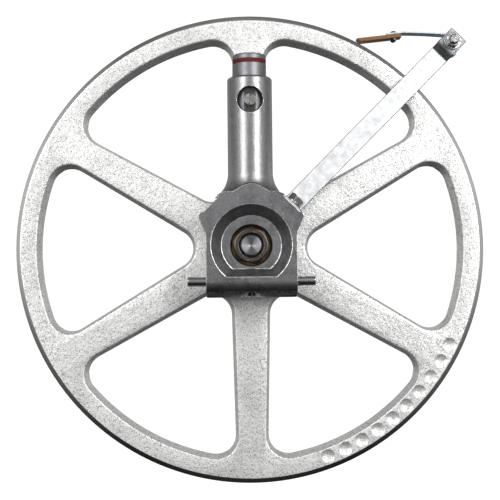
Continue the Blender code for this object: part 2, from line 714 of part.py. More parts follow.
def make_pivot(pivot):
    tab_near = ARM_Y - JOGGLE_DEPTH - ARM_THICK / 2
    tab_far = tab_near + ARM_THICK
    far_end = LEAF_NEAR_Y + LEAF_WIDTH + 2.2 * MM
    axis = on_axis(0, pivot.x, pivot.z)
    near_end = tab_near - 10.5 * MM
    stud = [
        (0, far_end + 3 * MM),
        (6.5 * MM, far_end + 3 * MM),
        (6.5 * MM, far_end),
        (4 * MM, far_end),
        (4 * MM, near_end + 0.8 * MM),
        (3.2 * MM, near_end),
        (0, near_end),
    ]
    screw = turned("scraper_pivot_screw", stud, plated, axis, 24)
    slot = [(-9 * MM, -0.6 * MM), (9 * MM, -0.6 * MM), (9 * MM, 0.6 * MM), (-9 * MM, 0.6 * MM)]
    lean = axis @ Matrix.Rotation(math.radians(-35), 4, "Z")
    boolean(screw, prism("pivot_slot", slot, near_end - 3 * MM, near_end + 1.4 * MM, None, lean))
    washer_y = tab_near - GAP - 1.2 * MM
    ring("scraper_pivot_washer", 4.2 * MM, 7.4 * MM, washer_y, washer_y + 1.2 * MM, plated, axis, 32)
    nut_y = washer_y - GAP - 5.2 * MM
    nut("scraper_pivot_nut", 11.1 * MM, 5.2 * MM, 4 * MM + RUN, plated, on_axis(nut_y, pivot.x, pivot.z), 0.3)
    bush_low, bush_high = tab_far + 0.4 * MM, far_end - 0.4 * MM
    collar_low, collar_high = LEAF_NEAR_Y + 0.2 * MM, LEAF_NEAR_Y + LEAF_WIDTH - 0.2 * MM
    bush_r, collar_r = 5.4 * MM, EYE_R - LEAF_THICK - GAP
    bush = [
        (4 * MM + RUN, bush_high),
        (bush_r, bush_high),
        (bush_r, collar_high),
        (collar_r, collar_high),
        (collar_r, collar_low),
        (bush_r, collar_low),
        (bush_r, bush_low),
        (4 * MM + RUN, bush_low),
    ]
    turned("scraper_bushing", bush, turned_steel, axis, 36)
    turns, per_turn, radius = 4, 10, 7.2 * MM
    wire_r = 0.65 * MM
    low = bush_low + 1.4 * MM
    high = collar_low - 1.4 * MM
    points = []
    for i in range(turns * per_turn + 1):
        angle = -math.tau * i / per_turn
        lift = low + (high - low) * i / (turns * per_turn)
        points.append((radius * math.cos(angle), radius * math.sin(angle), lift))
    coil("scraper_torsion_spring", points, wire_r, spring_steel, axis)


def leaf_path(pivot):
    """The leaf's middle line as (x, z): round the eye, straight over to the pad, and along its top."""
    eye = EYE_R - LEAF_THICK / 2
    rise = math.radians(3.2)
    top = math.radians(90) - rise
    path = arc((pivot.x, pivot.z), eye, math.radians(150) - math.tau, top, 22)
    lift = LEAF_THICK / 2 + 0.15 * MM
    over = Vector((-math.cos(PAD_ANGLE), -math.sin(PAD_ANGLE)))
    up = Vector((math.sin(-PAD_ANGLE), math.cos(PAD_ANGLE)))
    bend = Vector(PAD_TOP_RIGHT) + up * lift
    path += [tuple(bend + over * along) for along in (-4 * MM, 1 * MM, 13 * MM)]
    return path


def make_scraper(pivot):
    leaf_line = [in_wheel_plane(x, z) for x, z in leaf_path(pivot)]
    leaf = ribbon("scraper_leaf", leaf_line, LEAF_WIDTH, LEAF_THICK, leaf_steel, on_axis(LEAF_NEAR_Y))
    over = Vector((-math.cos(PAD_ANGLE), -math.sin(PAD_ANGLE)))
    down = Vector((math.sin(PAD_ANGLE), -math.cos(PAD_ANGLE)))
    corner = Vector(PAD_TOP_RIGHT)
    slant = 3.4 * MM
    outline = [
        corner,
        corner + over * PAD_LENGTH,
        corner + over * (PAD_LENGTH - slant) + down * PAD_THICK,
        corner + down * PAD_THICK,
    ]
    flat = [in_wheel_plane(x, z) for x, z in outline]
    pad = prism("scraper_pad", flat, 0, LEAF_WIDTH, phenolic, on_axis(LEAF_NEAR_Y))
    # own Z of a rivet points down through the leaf and the pad
    down3 = Vector((down.x, 0, down.y))
    along = Vector((0, 1, 0))
    turn = Matrix((along, down3.cross(along), down3)).transposed().to_4x4()
    for i, y in enumerate((3.2 * MM, 8.8 * MM)):
        middle = corner + over * (6.5 * MM)
        place = Matrix.Translation((middle.x, LEAF_NEAR_Y + y, middle.y)) @ turn
        hole_r, shank_r = 1.3 * MM, 1.1 * MM
        boolean(leaf, cylinder(f"leaf_hole_{i + 1}", hole_r, -4 * MM, 4 * MM, None, place, 12))
        boolean(pad, cylinder(f"pad_hole_{i + 1}", hole_r, -4 * MM, 8 * MM, None, place, 12))
        head_z = -0.15 * MM - LEAF_THICK - GAP
        profile = [
            (0, PAD_THICK + 2.6 * MM),
            (shank_r, PAD_THICK + 2.6 * MM),
            (shank_r, head_z),
            (2.5 * MM, head_z),
            (2.2 * MM, head_z - 1.2 * MM),
            (0, head_z - 1.6 * MM),
        ]
        turned(f"pad_screw_{i + 1}", profile, black_oxide, place, 16)
        nut_place = place @ Matrix.Translation((0, 0, PAD_THICK + GAP))
        nut(f"pad_nut_{i + 1}", 4.4 * MM, 1.7 * MM, shank_r + RUN, plated, nut_place, 0.3)


clear_scene()
parts = new_collection("band_saw_upper_wheel")
cutters = new_collection("cutters", cutters=True)

cast_tinned = new_material("cast_tinned", (0.72, 0.72, 0.7), 0.5, 0.9)
cast_iron = new_material("cast_iron", (0.17, 0.17, 0.175), 0.45, 0.8)
bearing_steel = new_material("bearing_steel", (0.6, 0.61, 0.62), 0.2, 1.0)
plated = new_material("plated", (0.62, 0.62, 0.6), 0.3, 1.0)
bar_zinc = new_material("bar_zinc", (0.7, 0.71, 0.72), 0.42, 0.9)
black_oxide = new_material("black_oxide", (0.05, 0.05, 0.055), 0.4, 0.7)
brown_oxide = new_material("brown_oxide", (0.22, 0.18, 0.15), 0.35, 0.9)
yellow_zinc = new_material("yellow_zinc", (0.62, 0.47, 0.2), 0.35, 0.9)
polished = new_material("polished", (0.42, 0.43, 0.44), 0.18, 1.0)
turned_steel = new_material("turned_steel", (0.5, 0.5, 0.52), 0.25, 1.0)
ground_steel = new_material("ground_steel", (0.36, 0.36, 0.37), 0.4, 0.9)
red_enamel = new_material("red_enamel", (0.6, 0.02, 0.03), 0.4, 0.0)
spring_steel = new_material("spring_steel", (0.2, 0.21, 0.24), 0.35, 0.9)
leaf_steel = new_material("leaf_steel", (0.4, 0.44, 0.48), 0.35, 0.9)
phenolic = new_material("phenolic", (0.34, 0.17, 0.06), 0.5, 0.0)

make_wheel()
make_hub_pieces()
make_yoke()
make_hinge_pin()
make_spindle()
make_plunger()
make_tension_spring()
pivot_place = make_arm()
make_pivot(pivot_place)
make_scraper(pivot_place)
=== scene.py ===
"""The looks of a band saw's upper wheel assembly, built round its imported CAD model.

Metres, +Z up. The wheel turns about the Y axis, and -Y points towards the camera.
"""

from math import atan2, cos, hypot, pi, radians, sin, sqrt, tan, tau

import bmesh
import bpy
from mathutils import Matrix, Vector


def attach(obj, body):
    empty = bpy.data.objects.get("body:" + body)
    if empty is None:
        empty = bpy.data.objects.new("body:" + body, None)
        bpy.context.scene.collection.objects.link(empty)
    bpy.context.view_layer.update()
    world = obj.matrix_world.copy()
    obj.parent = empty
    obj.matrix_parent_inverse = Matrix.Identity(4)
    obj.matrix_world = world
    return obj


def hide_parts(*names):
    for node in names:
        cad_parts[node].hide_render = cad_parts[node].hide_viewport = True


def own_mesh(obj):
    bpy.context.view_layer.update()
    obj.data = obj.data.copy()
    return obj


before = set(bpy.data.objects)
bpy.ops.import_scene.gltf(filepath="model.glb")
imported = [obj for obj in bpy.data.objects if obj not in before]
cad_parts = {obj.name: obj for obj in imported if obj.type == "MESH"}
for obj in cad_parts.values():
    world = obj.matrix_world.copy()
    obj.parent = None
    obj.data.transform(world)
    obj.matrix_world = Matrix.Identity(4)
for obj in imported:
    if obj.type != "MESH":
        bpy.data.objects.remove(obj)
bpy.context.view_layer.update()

MM = 0.001

moved = Matrix.Translation
ALONG_X = Matrix.Rotation(radians(90), 4, "Y")
ALONG_Y = Matrix.Rotation(radians(-90), 4, "X")
TOWARDS_CAMERA = Matrix.Rotation(radians(90), 4, "X")
SIDEWAYS = Matrix(((0, 0, 1, 0), (1, 0, 0, 0), (0, 1, 0, 0), (0, 0, 0, 1)))
ARM_ANGLE = radians(45)
ALONG_ARM = Matrix.Rotation(ARM_ANGLE, 4, "Y")
POINT_R = 1e-9  # a profile point nearer to the axis than this is one vertex
HEX_CHAMFER = radians(30)
HEX_CHAMFER_R = 1.05  # where the chamfer ends, in corner radii
HEX_FACE_R = 0.475  # where the chamfer starts, in widths across flats

# ---- mesh helpers


def add_object(name, data):
    obj = bpy.data.objects.new(name, data)
    bpy.context.scene.collection.objects.link(obj)
    return obj


def new_object(name, bm, *materials):
    """Turns the bmesh into an object, with the materials as its slots."""
    bmesh.ops.recalc_face_normals(bm, faces=bm.faces)
    mesh = bpy.data.meshes.new(name)
    bm.to_mesh(mesh)
    bm.free()
    for material in materials:
        mesh.materials.append(material)
    return add_object(name, mesh)


def applied(obj):
    """Puts the result of the object's modifiers in its mesh."""
    graph = bpy.context.evaluated_depsgraph_get()
    mesh = bpy.data.meshes.new_from_object(obj.evaluated_get(graph))
    old = obj.data
    obj.modifiers.clear()
    obj.data = mesh
    mesh.name = obj.name
    bpy.data.meshes.remove(old)


def combine(obj, other, operation):
    """Puts the result of a boolean in the first object. The other one is used up."""
    modifier = obj.modifiers.new("Combine", "BOOLEAN")
    modifier.operation = operation
    modifier.solver = "EXACT"
    modifier.object = other
    applied(obj)
    bpy.data.objects.remove(other, do_unlink=True)
    return obj


def cut(obj, *others):
    """Takes the others out of the object."""
    for other in others:
        combine(obj, other, "DIFFERENCE")
    return obj


def smooth(obj, angle):
    """Shades smooth, but for the edges sharper than the angle in degrees."""
    obj.data.shade_smooth()
    obj.data.set_sharp_from_angle(angle=radians(angle))
    return obj


def bevel(obj, width, segments=2, angle=35, edge_material=-1):
    """Rounds the edges. The last argument is the material slot that the rounded edges show: rubbed
    bright metal on the yoke and the leaf, painted shade along the scraper bar.
    """
    modifier = obj.modifiers.new("Edges", "BEVEL")
    modifier.width = width
    modifier.segments = segments
    modifier.limit_method = "ANGLE"
    modifier.angle_limit = radians(angle)
    modifier.use_clamp_overlap = False
    modifier.miter_outer = "MITER_ARC"
    modifier.harden_normals = True
    modifier.material = edge_material
    obj.data.shade_smooth()
    return modifier


def lathe(name, profile, place, *materials, segments=96):
    """Turns the profile of (radius, place along the axis) round the own Z axis of the matrix."""
    bm = bmesh.new()
    rings = []
    for radius, along in profile:
        count = segments if radius > POINT_R else 1
        ring = []
        for i in range(count):
            angle = tau * i / segments
            spot = Vector((radius * cos(angle), radius * sin(angle), along))
            ring.append(bm.verts.new(place @ spot))
        rings.append(ring)
    pairs = list(zip(rings, rings[1:]))
    if profile[0][0] > POINT_R:
        pairs.append((rings[-1], rings[0]))
    for first, second in pairs:
        for i in range(segments):
            corners = []
            for ring, step in ((first, i), (second, i), (second, i + 1), (first, i + 1)):
                vert = ring[step % len(ring)]
                if vert not in corners:
                    corners.append(vert)
            if len(corners) > 2:
                bm.faces.new(corners)
    return smooth(new_object(name, bm, *materials), 25)


def rod(radius, low, high, place, segments=64):
    """A plain round cutter."""
    profile = [(0, high), (radius, high), (radius, low), (0, low)]
    return lathe("cutter", profile, place, segments=segments)


def prism(name, outline, low, high, place, *materials):
    """The outline (x, y) pushed from low to high along the own Z axis of the matrix."""
    bm = bmesh.new()
    lower = [bm.verts.new(place @ Vector((x, y, low))) for x, y in outline]
    upper = [bm.verts.new(place @ Vector((x, y, high))) for x, y in outline]
    bm.faces.new(lower)
    bm.faces.new(upper)
    for i in range(len(outline)):
        j = (i + 1) % len(outline)
        bm.faces.new((lower[i], lower[j], upper[j], upper[i]))
    return new_object(name, bm, *materials)


def arc(centre, radius, start, end, steps):
    """Points along part of a circle, with both ends."""
    points = []
    for i in range(steps + 1):
        angle = start + (end - start) * i / steps
        points.append((centre[0] + radius * cos(angle), centre[1] + radius * sin(angle)))
    return points


def filleted(points, closed=False, steps=5):
    """Rounds the corners of the (x, y, radius) points, and keeps the (x, y) points as they are."""
    result = []
    count = len(points)
    for i, point in enumerate(points):
        here = Vector(point[:2])
        radius = point[2] if len(point) > 2 else 0
        if radius == 0 or (not closed and i in (0, count - 1)):
            result.append(tuple(here))
            continue
        to_last = (Vector(points[i - 1][:2]) - here).normalized()
        to_next = (Vector(points[(i + 1) % count][:2]) - here).normalized()
        half = to_last.angle(to_next) / 2
        start = here + to_last * (radius / tan(half))
        centre = here + (to_last + to_next).normalized() * (radius / sin(half))
        end = here + to_next * (radius / tan(half))
        first = start - centre
        turn = atan2(end.y - centre.y, end.x - centre.x) - atan2(first.y, first.x)
        turn = (turn + pi) % tau - pi
        begin = atan2(first.y, first.x)
        result += arc(centre, radius, begin, begin + turn, steps)
    return result


def hexagon(flats, turn):
    """The corners of a hexagon with this width across flats."""
    return arc((0, 0), flats / sqrt(3), turn, turn + tau * 5 / 6, 5)


def rectangle(half_x, half_y):
    """The corners of a rectangle round the origin."""
    return [(-half_x, -half_y), (half_x, -half_y), (half_x, half_y), (-half_x, half_y)]


def on_axis(y=0.0, x=0.0, z=0.0):
    """A matrix whose own Z axis runs along +Y. Its own Y axis points down."""
    return moved((x, y, z)) @ ALONG_Y


def on_arm(s, y=0.0):
    """A matrix whose own Z axis runs outward along the scraper arm."""
    return moved((0, y, 0)) @ ALONG_ARM @ moved((0, 0, s))


def chamfered_hex(name, flats, low, high, place, material, turn, ends=(True, True)):
    """A hex head or nut, with its corners turned off where ends (low, high) says so."""
    head = prism(name, hexagon(flats, turn), low, high, place, material)
    wide = flats / sqrt(3) * HEX_CHAMFER_R
    face_r = flats * HEX_FACE_R
    drop = (wide - face_r) * tan(HEX_CHAMFER)
    profile = [(0, high + (0 if ends[1] else drop))]
    profile += [(face_r, high), (wide, high - drop)] if ends[1] else [(wide, high + drop)]
    profile += [(wide, low + drop), (face_r, low)] if ends[0] else [(wide, low - drop)]
    profile += [(0, low - (0 if ends[0] else drop))]
    return combine(head, lathe("cutter", profile, place), "INTERSECT")


def band(name, radii, ends, rounds, place, material, segments=96):
    """A washer or ring. radii is (inner, outer), and ends and rounds are (low, high)."""
    (inner, outer), (low, high), (round_low, round_high) = radii, ends, rounds
    profile = [(inner, high), (outer, high, round_high), (outer, low, round_low), (inner, low)]
    return lathe(name, filleted(profile), place, material, segments=segments)


def stands_for(obj, node, body):
    """Hides the CAD node that the object stands for, and puts the object under the body's empty.
    """
    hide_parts(node)
    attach(obj, body)


# ---- materials


def set_inputs(node, values):
    for name, value in values.items():
        node.inputs[name].default_value = value


def set_stops(ramp, stops):
    """Gives a colour ramp its stops of (place, grey or colour)."""
    elements = ramp.color_ramp.elements
    while len(elements) < len(stops):
        elements.new(0.5)
    for element, (place, shade) in zip(elements, stops):
        element.position = place
        element.color = (*shade, 1) if isinstance(shade, tuple) else (shade, shade, shade, 1)


class Finish:
    """A procedural metal or plastic, put together from noise in the object's own coordinates."""

    def __init__(self, name, color, roughness, metallic=1.0):
        self.material = bpy.data.materials.new(name)
        self.material.use_nodes = True
        self.tree = self.material.node_tree
        self.link = self.tree.links.new
        self.shader = self.tree.nodes["Principled BSDF"]
        look = {"Base Color": (*color, 1), "Roughness": roughness, "Metallic": metallic}
        set_inputs(self.shader, look)
        self.material.diffuse_color = (*color, 1)
        self.coordinates = self.node("TexCoord").outputs["Object"]
        self.color = color
        self.color_out = None
        self.normal_out = None

    def node(self, kind, **settings):
        node = self.tree.nodes.new("ShaderNode" + kind)
        for key, value in settings.items():
            setattr(node, key, value)
        return node

    def stretched(self, scale):
        """The coordinates, scaled along each axis."""
        mapping = self.node("Mapping")
        mapping.inputs["Scale"].default_value = scale
        self.link(self.coordinates, mapping.inputs["Vector"])
        return mapping.outputs["Vector"]

    def noise(self, scale, detail, roughness, stretch=None):
        node = self.node("TexNoise")
        set_inputs(node, {"Scale": scale, "Detail": detail, "Roughness": roughness})
        vector = self.stretched(stretch) if stretch else self.coordinates
        self.link(vector, node.inputs["Vector"])
        return node.outputs["Fac"]

    def tint(self, value, amount, *stops, mode="MULTIPLY"):
        """Lays the value over the base colour, by way of a ramp with these stops."""
        ramp = self.node("ValToRGB")
        set_stops(ramp, stops)
        self.link(value, ramp.inputs["Fac"])
        node = self.node("Mix", data_type="RGBA", blend_type=mode)
        node.inputs["Factor"].default_value = amount
        if self.color_out is None:
            node.inputs["A"].default_value = (*self.color, 1)
        else:
            self.link(self.color_out, node.inputs["A"])
        self.link(ramp.outputs["Color"], node.inputs["B"])
        self.color_out = node.outputs["Result"]
        self.link(self.color_out, self.shader.inputs["Base Color"])

    def rough(self, value, low, high):
        """The roughness follows the value, from low at 0 to high at 1."""
        node = self.node("MapRange")
        set_inputs(node, {"To Min": low, "To Max": high})
        self.link(value, node.inputs["Value"])
        self.link(node.outputs["Result"], self.shader.inputs["Roughness"])

    def bump(self, value, depth, strength=1.0):
        """Lays bumps over the ones that are there. The depth is in metres."""
        node = self.node("Bump")
        set_inputs(node, {"Distance": depth, "Strength": strength})
        self.link(value, node.inputs["Height"])
        if self.normal_out is not None:
            self.link(self.normal_out, node.inputs["Normal"])
        self.normal_out = node.outputs["Normal"]
        self.link(self.normal_out, self.shader.inputs["Normal"])


def cast_finish():
    """Sand casting with a thick bright tin coat: fine bright grain with sharp grey pits."""
    finish = Finish("cast_tinned_sand", (0.98, 0.98, 0.97), 0.42, 0.72)
    grain = finish.noise(900, 2, 0.7)
    lumps = finish.noise(330, 3, 0.6)
    patches = finish.noise(28, 3, 0.6)
    finish.tint(grain, 0.85, (0.37, 0.2), (0.44, 1.0))
    finish.tint(lumps, 0.6, (0.3, 0.55), (0.48, 1.0))
    finish.tint(patches, 0.8, (0.3, 0.78), (0.55, 1.0))
    finish.rough(lumps, 0.6, 0.3)
    finish.bump(lumps, 0.5 * MM, 0.7)
    finish.bump(grain, 0.2 * MM, 0.7)
    return finish.material


def ground_finish():
    """The turned tread and the bevels beside it."""
    finish = Finish("ground_rim", (0.88, 0.88, 0.87), 0.22, 1.0)
    marks = finish.noise(600, 3, 0.6)
    wide = finish.noise(60, 3, 0.6)
    finish.tint(wide, 0.6, (0.3, 0.85), (0.7, 1.0))
    finish.rough(marks, 0.14, 0.3)
    finish.bump(marks, 0.04 * MM, 0.5)
    return finish.material


def milled_finish():
    """The yoke's milled face: dark satin with fine cross-hatched marks and light nicks."""
    finish = Finish("milled_iron", (0.27, 0.27, 0.278), 0.36, 1.0)
    grain = finish.noise(900, 3, 0.7)
    scratches = finish.noise(120, 4, 0.7, (1.0, 1.0, 14.0))
    nicks = finish.noise(700, 2, 0.5)
    stains = finish.noise(75, 4, 0.65)
    finish.tint(stains, 0.85, (0.36, 0.62), (0.56, 1.05))
    finish.tint(grain, 0.8, (0.3, 0.66), (0.7, 1.3))
    finish.tint(nicks, 0.7, (0.66, (0, 0, 0)), (0.74, (0.5, 0.5, 0.5)), mode="ADD")
    finish.rough(scratches, 0.26, 0.5)
    finish.bump(grain, 0.06 * MM, 0.6)
    return finish.material


def post_finish():
    """The satin iron of the post and the flare, with a coarse grain."""
    finish = Finish("satin_iron", (0.37, 0.37, 0.37), 0.3, 1.0)
    grain = finish.noise(520, 4, 0.65)
    patches = finish.noise(70, 3, 0.6)
    finish.tint(grain, 0.8, (0.3, 0.72), (0.7, 1.15))
    finish.tint(patches, 0.6, (0.3, 0.8), (0.7, 1.0))
    finish.rough(grain, 0.24, 0.42)
    finish.bump(grain, 0.2 * MM, 0.8)
    return finish.material


def worn_finish():
    """Bare bright metal with dark specks, where an edge has rubbed."""
    finish = Finish("worn_edge", (0.85, 0.85, 0.84), 0.3, 1.0)
    grain = finish.noise(500, 3, 0.6)
    finish.tint(grain, 0.85, (0.38, 0.25), (0.52, 1.0))
    finish.rough(grain, 0.25, 0.45)
    return finish.material


def plain_finish(name, color, roughness, grain_scale=700, depth=0.03, stretch=None, uneven=0.8):
    """A plated, ground or oxidised part. The depth of its bumps is in millimetres."""
    finish = Finish(name, color, roughness, 1.0)
    grain = finish.noise(grain_scale, 3, 0.6, stretch)
    patches = finish.noise(160, 3, 0.6)
    finish.tint(patches, 0.8, (0.3, uneven), (0.65, 1.0))
    finish.rough(grain, roughness * 0.75, min(1.0, roughness * 1.4))
    finish.bump(grain, depth * MM, 0.6)
    return finish


def bright(*settings):
    return plain_finish(*settings).material


cast = cast_finish()
ground = ground_finish()
milled = milled_finish()
satin = post_finish()
edge_material = worn_finish()
cast_iron = bright("yoke_sides", (0.34, 0.34, 0.34), 0.4, 400, 0.15)
polished = bright("polished_pin", (0.5, 0.5, 0.51), 0.16, 300, 0.01, (8, 1, 1))
plated = bright("zinc_plate", (0.6, 0.6, 0.59), 0.26)
dull_plate = bright("dull_zinc_plate", (0.6, 0.6, 0.61), 0.24, 420, 0.3, None, 0.4)
bar = bright("galvanised_bar", (0.92, 0.94, 0.955), 0.4, 480, 0.08, None, 0.6)
tab_steel = bright("galvanised_tab", (0.41, 0.42, 0.43), 0.32, 330, 0.2, None, 0.4)
# a dark grey for the rounded edges along the scraper bar: painted shade
bar_edge = bright("painted_shade_bar_edge", (0.16, 0.16, 0.165), 0.4, 500, 0.1)
ground_steel = bright("ground_plunger", (0.28, 0.28, 0.295), 0.45, 900, 0.05)
oxide = bright("black_oxide", (0.06, 0.06, 0.065), 0.34)
brown = bright("brown_oxide", (0.17, 0.15, 0.135), 0.26, 600, 0.05, None, 0.6)
spring = bright("spring_steel", (0.22, 0.24, 0.28), 0.3)
blued = bright("blued_leaf", (0.6, 0.67, 0.73), 0.4, 500, 0.04, (1, 1, 6))
bearing = bright("bearing_steel", (0.62, 0.63, 0.64), 0.16, 800, 0.01)
# dark oiled steel on the spindle's thread; the same dark grey is painted shade in the yoke's nut
# well and round the plunger's stop screw
dark_oil_and_painted_shade = bright("oiled_thread_and_painted_shade", (0.12, 0.115, 0.11), 0.3)


def yellow_finish():
    """Yellow zinc plate with rusty patches."""
    finish = plain_finish("yellow_zinc", (0.3, 0.23, 0.12), 0.36)
    rust = finish.noise(110, 4, 0.6)
    finish.tint(rust, 0.9, (0.42, (1, 1, 1)), (0.56, (0.62, 0.3, 0.24)))
    return finish.material


def turned_finish():
    """A lathe-faced end: fine rings round the Y axis that spread light into a bow tie."""
    finish = Finish("lathe_faced", (0.33, 0.33, 0.345), 0.36, 1.0)
    set_inputs(finish.shader, {"Anisotropic": 0.95, "Anisotropic Rotation": 0.25})
    tangent = finish.node("Tangent", direction_type="RADIAL", axis="Y")
    finish.link(tangent.outputs["Tangent"], finish.shader.inputs["Tangent"])
    grain = finish.noise(300, 3, 0.6)
    finish.tint(grain, 0.6, (0.3, 0.85), (0.7, 1.0))
    finish.bump(grain, 0.01 * MM, 0.3)
    return finish.material


def red_finish():
    """Dull red enamel."""
    finish = Finish("red_band", (0.17, 0.001, 0.002), 0.7, 0.0)
    grain = finish.noise(500, 3, 0.6)
    finish.tint(grain, 0.8, (0.3, 0.7), (0.7, 1.0))
    finish.bump(grain, 0.05 * MM, 0.5)
    return finish.material


def phenolic_finish():
    """Brown fabric laminate: fine weave on the faces, layers along the edges."""
    finish = Finish("brown_phenolic", (0.27, 0.125, 0.04), 0.5, 0.0)
    layers = finish.noise(500, 3, 0.6, (1, 1, 5))
    fibres = finish.noise(350, 4, 0.7, (1, 4, 4))
    finish.tint(fibres, 0.9, (0.3, 0.6), (0.7, 1.25))
    finish.tint(layers, 0.6, (0.35, 0.65), (0.6, 1.0))
    finish.bump(fibres, 0.06 * MM, 0.6)
    return finish.material


yellow = yellow_finish()
faced = turned_finish()
red = red_finish()
phenolic = phenolic_finish()

# ---- wheel

TREAD_R = 203.2 * MM
RIM_BEVEL = 4.0 * MM
RIM_INNER_R = 184.5 * MM
NEAR_Y = 38.0 * MM
RIM_FAR_Y = 61.0 * MM
WEB_FAR_Y = 54.0 * MM
SPOKES = 6
HALF_AT_HUB = 14.9 * MM
HALF_AT_RIM = 12.0 * MM
INNER_ROUND = 18.5 * MM
OUTER_ROUND = 19.0 * MM
HUB_R = 36.0 * MM
HUB_NEAR_Y = 36.0 * MM
HUB_FAR_Y = 75.0 * MM
BEARING_R = 25.4 * MM
SEAT_R = BEARING_R + 0.1 * MM
LIP_R = 22.5 * MM
LIP_Y = (50.9 * MM, 59.1 * MM)
GROOVE_R = SEAT_R + 1.6 * MM
GROOVE_Y = (72.2 * MM, 73.9 * MM)
NEAR_GROW = 0.5 * MM
DRAFT = 0.16
WINDOW_EDGE = 1.3 * MM
DIMPLES = 10
DIMPLE_R = 6.0 * MM
DIMPLE_RISE = 0.6 * MM
DIMPLE_CIRCLE_R = 192.0 * MM
DIMPLE_FIRST = -70.2
DIMPLE_STEP = 4.84
DRILL_HALF_POINT = radians(59)
CAST, GROUND = range(2)


def mirrored(point, middle):
    """The point mirrored in the line through the axis at the angle middle."""
    angle = 2 * middle - atan2(point[1], point[0])
    radius = hypot(point[0], point[1])
    return radius * cos(angle), radius * sin(angle)


def window_outline(middle, grow):
    """The hole between two spokes, rounded at the hub and at its two outer corners."""
    half_at_hub, half_at_rim = HALF_AT_HUB - grow, HALF_AT_RIM - grow
    inner_round, outer_round = INNER_ROUND + grow, OUTER_ROUND + grow
    rim_inner_r = RIM_INNER_R + grow
    direction = middle - pi / SPOKES
    along_spoke = Vector((cos(direction), sin(direction)))
    across = Vector((-along_spoke.y, along_spoke.x))
    low_point = along_spoke * 60 * MM + across * half_at_hub
    low_way = (along_spoke * rim_inner_r + across * half_at_rim - low_point).normalized()
    normal = Vector((-low_way.y, low_way.x))
    along = Vector((cos(middle), sin(middle)))
    inner_centre = along * ((inner_round + normal.dot(low_point)) / normal.dot(along))
    start = low_point + normal * outer_round
    distance = rim_inner_r - outer_round
    b = start.dot(low_way)
    corner = start + low_way * (-b + sqrt(b * b - start.dot(start) + distance * distance))
    edge_turn = (atan2(-normal.y, -normal.x) - middle) % tau - tau
    rim_turn = (atan2(corner.y, corner.x) - middle) % tau - tau
    edge, rim = middle + edge_turn, middle + rim_turn
    outline = arc(inner_centre, inner_round, middle - edge_turn, edge + tau, 22)
    outline += arc(corner, outer_round, edge, rim, 14)
    outline += arc((0, 0), rim_inner_r, rim, middle - rim_turn, 34)[1:-1]
    corner = mirrored(corner, middle)
    outline += arc(corner, outer_round, middle - rim_turn, middle - edge_turn, 14)
    return outline


def window_cutter(middle):
    """The core that left the hole, with the draft that shows as a sloping wall all round it."""
    ends = []
    bm = bmesh.new()
    for y in (NEAR_Y - 5 * MM, WEB_FAR_Y + 5 * MM):
        grow = NEAR_GROW - DRAFT * (y - NEAR_Y)
        ends.append([bm.verts.new((x, y, z)) for x, z in window_outline(middle, grow)])
        bm.faces.new(ends[-1])
    for i in range(len(ends[0])):
        j = (i + 1) % len(ends[0])
        bm.faces.new((ends[0][i], ends[0][j], ends[1][j]))
        bm.faces.new((ends[0][i], ends[1][j], ends[1][i]))
    return new_object("cutter", bm)


def round_windows(wheel):
    """Rounds the edges between the windows' walls and the wheel's flat faces."""
    bm = bmesh.new()
    bm.from_mesh(wheel.data)
    edges = []
    for edge in bm.edges:
        if len(edge.link_faces) != 2:
            continue
        radii = [hypot(v.co.x, v.co.z) for v in edge.verts]
        in_web = min(radii) > 38 * MM and max(radii) < 187.2 * MM
        on_far_rim = edge.verts[0].co.y > 50 * MM and min(radii) > 178 * MM
        slopes = sorted(abs(face.normal.y) for face in edge.link_faces)
        if slopes[0] < 0.4 and slopes[1] > 0.9 and in_web and not on_far_rim:
            edges.append(edge)
    bmesh.ops.bevel(
        bm, geom=edges, offset=WINDOW_EDGE, offset_type="OFFSET", segments=4, profile=0.5,
        affect="EDGES", clamp_overlap=False, loop_slide=False,
    )
    bm.to_mesh(wheel.data)
    bm.free()


def drill_dimples(wheel):
    """The balance drillings, which are only as deep as the drill's point."""
    depth = DIMPLE_R / tan(DRILL_HALF_POINT)
    wide = DIMPLE_R + DIMPLE_RISE * DIMPLE_R / depth
    for i in range(DIMPLES):
        angle = radians(DIMPLE_FIRST + DIMPLE_STEP * i)
        x, z = DIMPLE_CIRCLE_R * cos(angle), DIMPLE_CIRCLE_R * sin(angle)
        drill = filleted([(0, depth), (wide, -DIMPLE_RISE), (0, -DIMPLE_RISE)])
        cut(wheel, lathe("cutter", drill, on_axis(NEAR_Y, x, z), segments=40))


